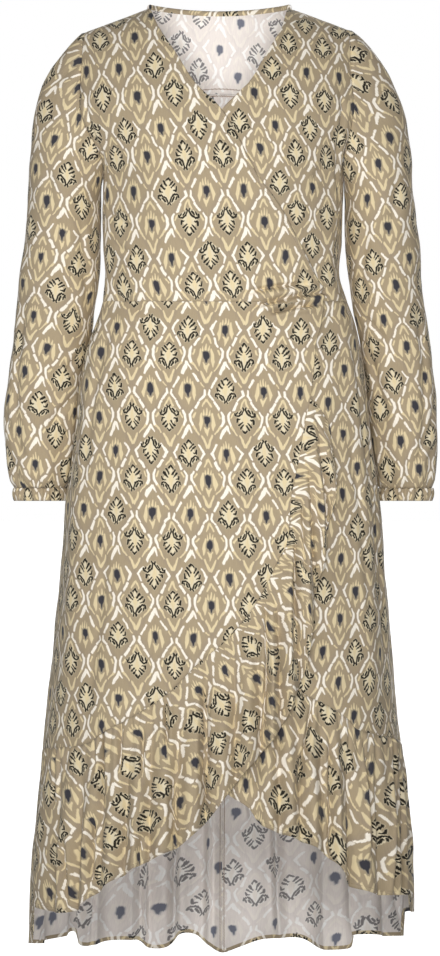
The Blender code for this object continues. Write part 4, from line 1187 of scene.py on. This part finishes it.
for name, side in (("right", -1), ("left", 1)):
    turn = np.linspace(0, 2 * np.pi, CUFF_COLUMNS)
    top, end = (ring(side, np.array(section) * MM, turn) for section in (SLEEVE[0], CUFF_END))
    up = np.linspace(0, 1, CUFF_ROWS)[:, None, None]
    points = end + (top - end) * up
    middle = points.mean(axis=1, keepdims=True)
    facing = (points - middle) / np.linalg.norm(points - middle, axis=-1, keepdims=True)
    gather = np.sin(CUFF_FOLDS * turn + 2 * np.sin(3 * turn))
    fold = CUFF_FOLD * gather + CUFF_BULGE * np.sin(np.pi * up[..., 0])
    points = points + facing * fold[..., None]
    place = np.stack([np.broadcast_to(turn * SLEEVE_RADIUS, fold.shape), lengths(points)], axis=-1)
    cuff = panel("cuff_" + name, *turned_round(side, points, place), "t", closed=True)


# ---- Floor, light and camera ----
# A white studio: a wide floor, an even surround, a soft key light from the upper left, a fill
# light from the front, its bounce off the floor, a light behind and a small lamp inside the neck.

FLOOR, FLOOR_SIZE = -1.45, 400
VIEW_HEIGHT, SENSOR, VIEW_DISTANCE, VIEW_PLACE = 1.3384, 36, 17, (0.0007, -17, -0.658)
AMBIENT = 0.18  # brightness of the surround that the cloth sees
# Lights: angle to the left of the front, height over level (degrees), strength, spread (degrees)
LIGHTS = {"key": (32, 34, 0.65, 16), "bounce": (-6, -18, 0.92, 30), "behind": (196, 24, 1.6, 30)}
# Lamps: place, direction they point up (degrees), size, beam (degrees), power
LAMPS = {"fill": ((-0.05, -2.6, -0.46), 90, 0.5, 64, 4.0), "neck": ((0, -0.03, -0.2), 142, 0.1, 180, 0.12)}

bpy.ops.mesh.primitive_plane_add(size=FLOOR_SIZE, location=(0, 0, FLOOR))
floor = bpy.context.object
floor.name = "studio_floor"
floor.visible_diffuse = False
floor.visible_shadow = False
paint = bpy.data.materials.new("white_floor")
paint.use_nodes = True
gloss = paint.node_tree.nodes["Principled BSDF"]
gloss.inputs["Base Color"].default_value = (0.9, 0.9, 0.9, 1)
gloss.inputs["Roughness"].default_value = 0.9
gloss.inputs["Emission Color"].default_value = (1, 1, 1, 1)
gloss.inputs["Emission Strength"].default_value = 0.8
floor.data.materials.append(paint)

world = bpy.data.worlds.new("studio")
world.use_nodes = True
seen = Wire(world.node_tree).node("LightPath").math("MULTIPLY_ADD", 1 - AMBIENT, AMBIENT)
surround = world.node_tree.nodes["Background"].inputs
surround["Color"].default_value = (1, 1, 1, 1)
world.node_tree.links.new(seen.socket, surround["Strength"])
bpy.context.scene.world = world
bpy.context.scene.view_settings.view_transform = "Standard"

for name, (left, high, strength, spread_angle) in LIGHTS.items():
    lamp = bpy.data.lights.new(name, "SUN")
    lamp.energy = strength
    lamp.angle = np.radians(spread_angle)
    light = into_scene(name, lamp)
    light.rotation_euler = (np.radians(90 - high), 0, np.radians(-left))

for name, (location, tilt, size, beam, power) in LAMPS.items():
    lamp = bpy.data.lights.new(name, "AREA")
    lamp.energy = power
    lamp.size = size
    lamp.spread = np.radians(beam)
    light = into_scene(name, lamp)
    light.location = location
    light.rotation_euler = (np.radians(tilt), 0, 0)
    light.visible_camera = False

lens = bpy.data.cameras.new("camera")
lens.lens = SENSOR * VIEW_DISTANCE / VIEW_HEIGHT
lens.clip_end = 1000
camera = into_scene("camera", lens)
camera.location = VIEW_PLACE
camera.rotation_euler = (np.pi / 2, 0, 0)
bpy.context.scene.camera = camera
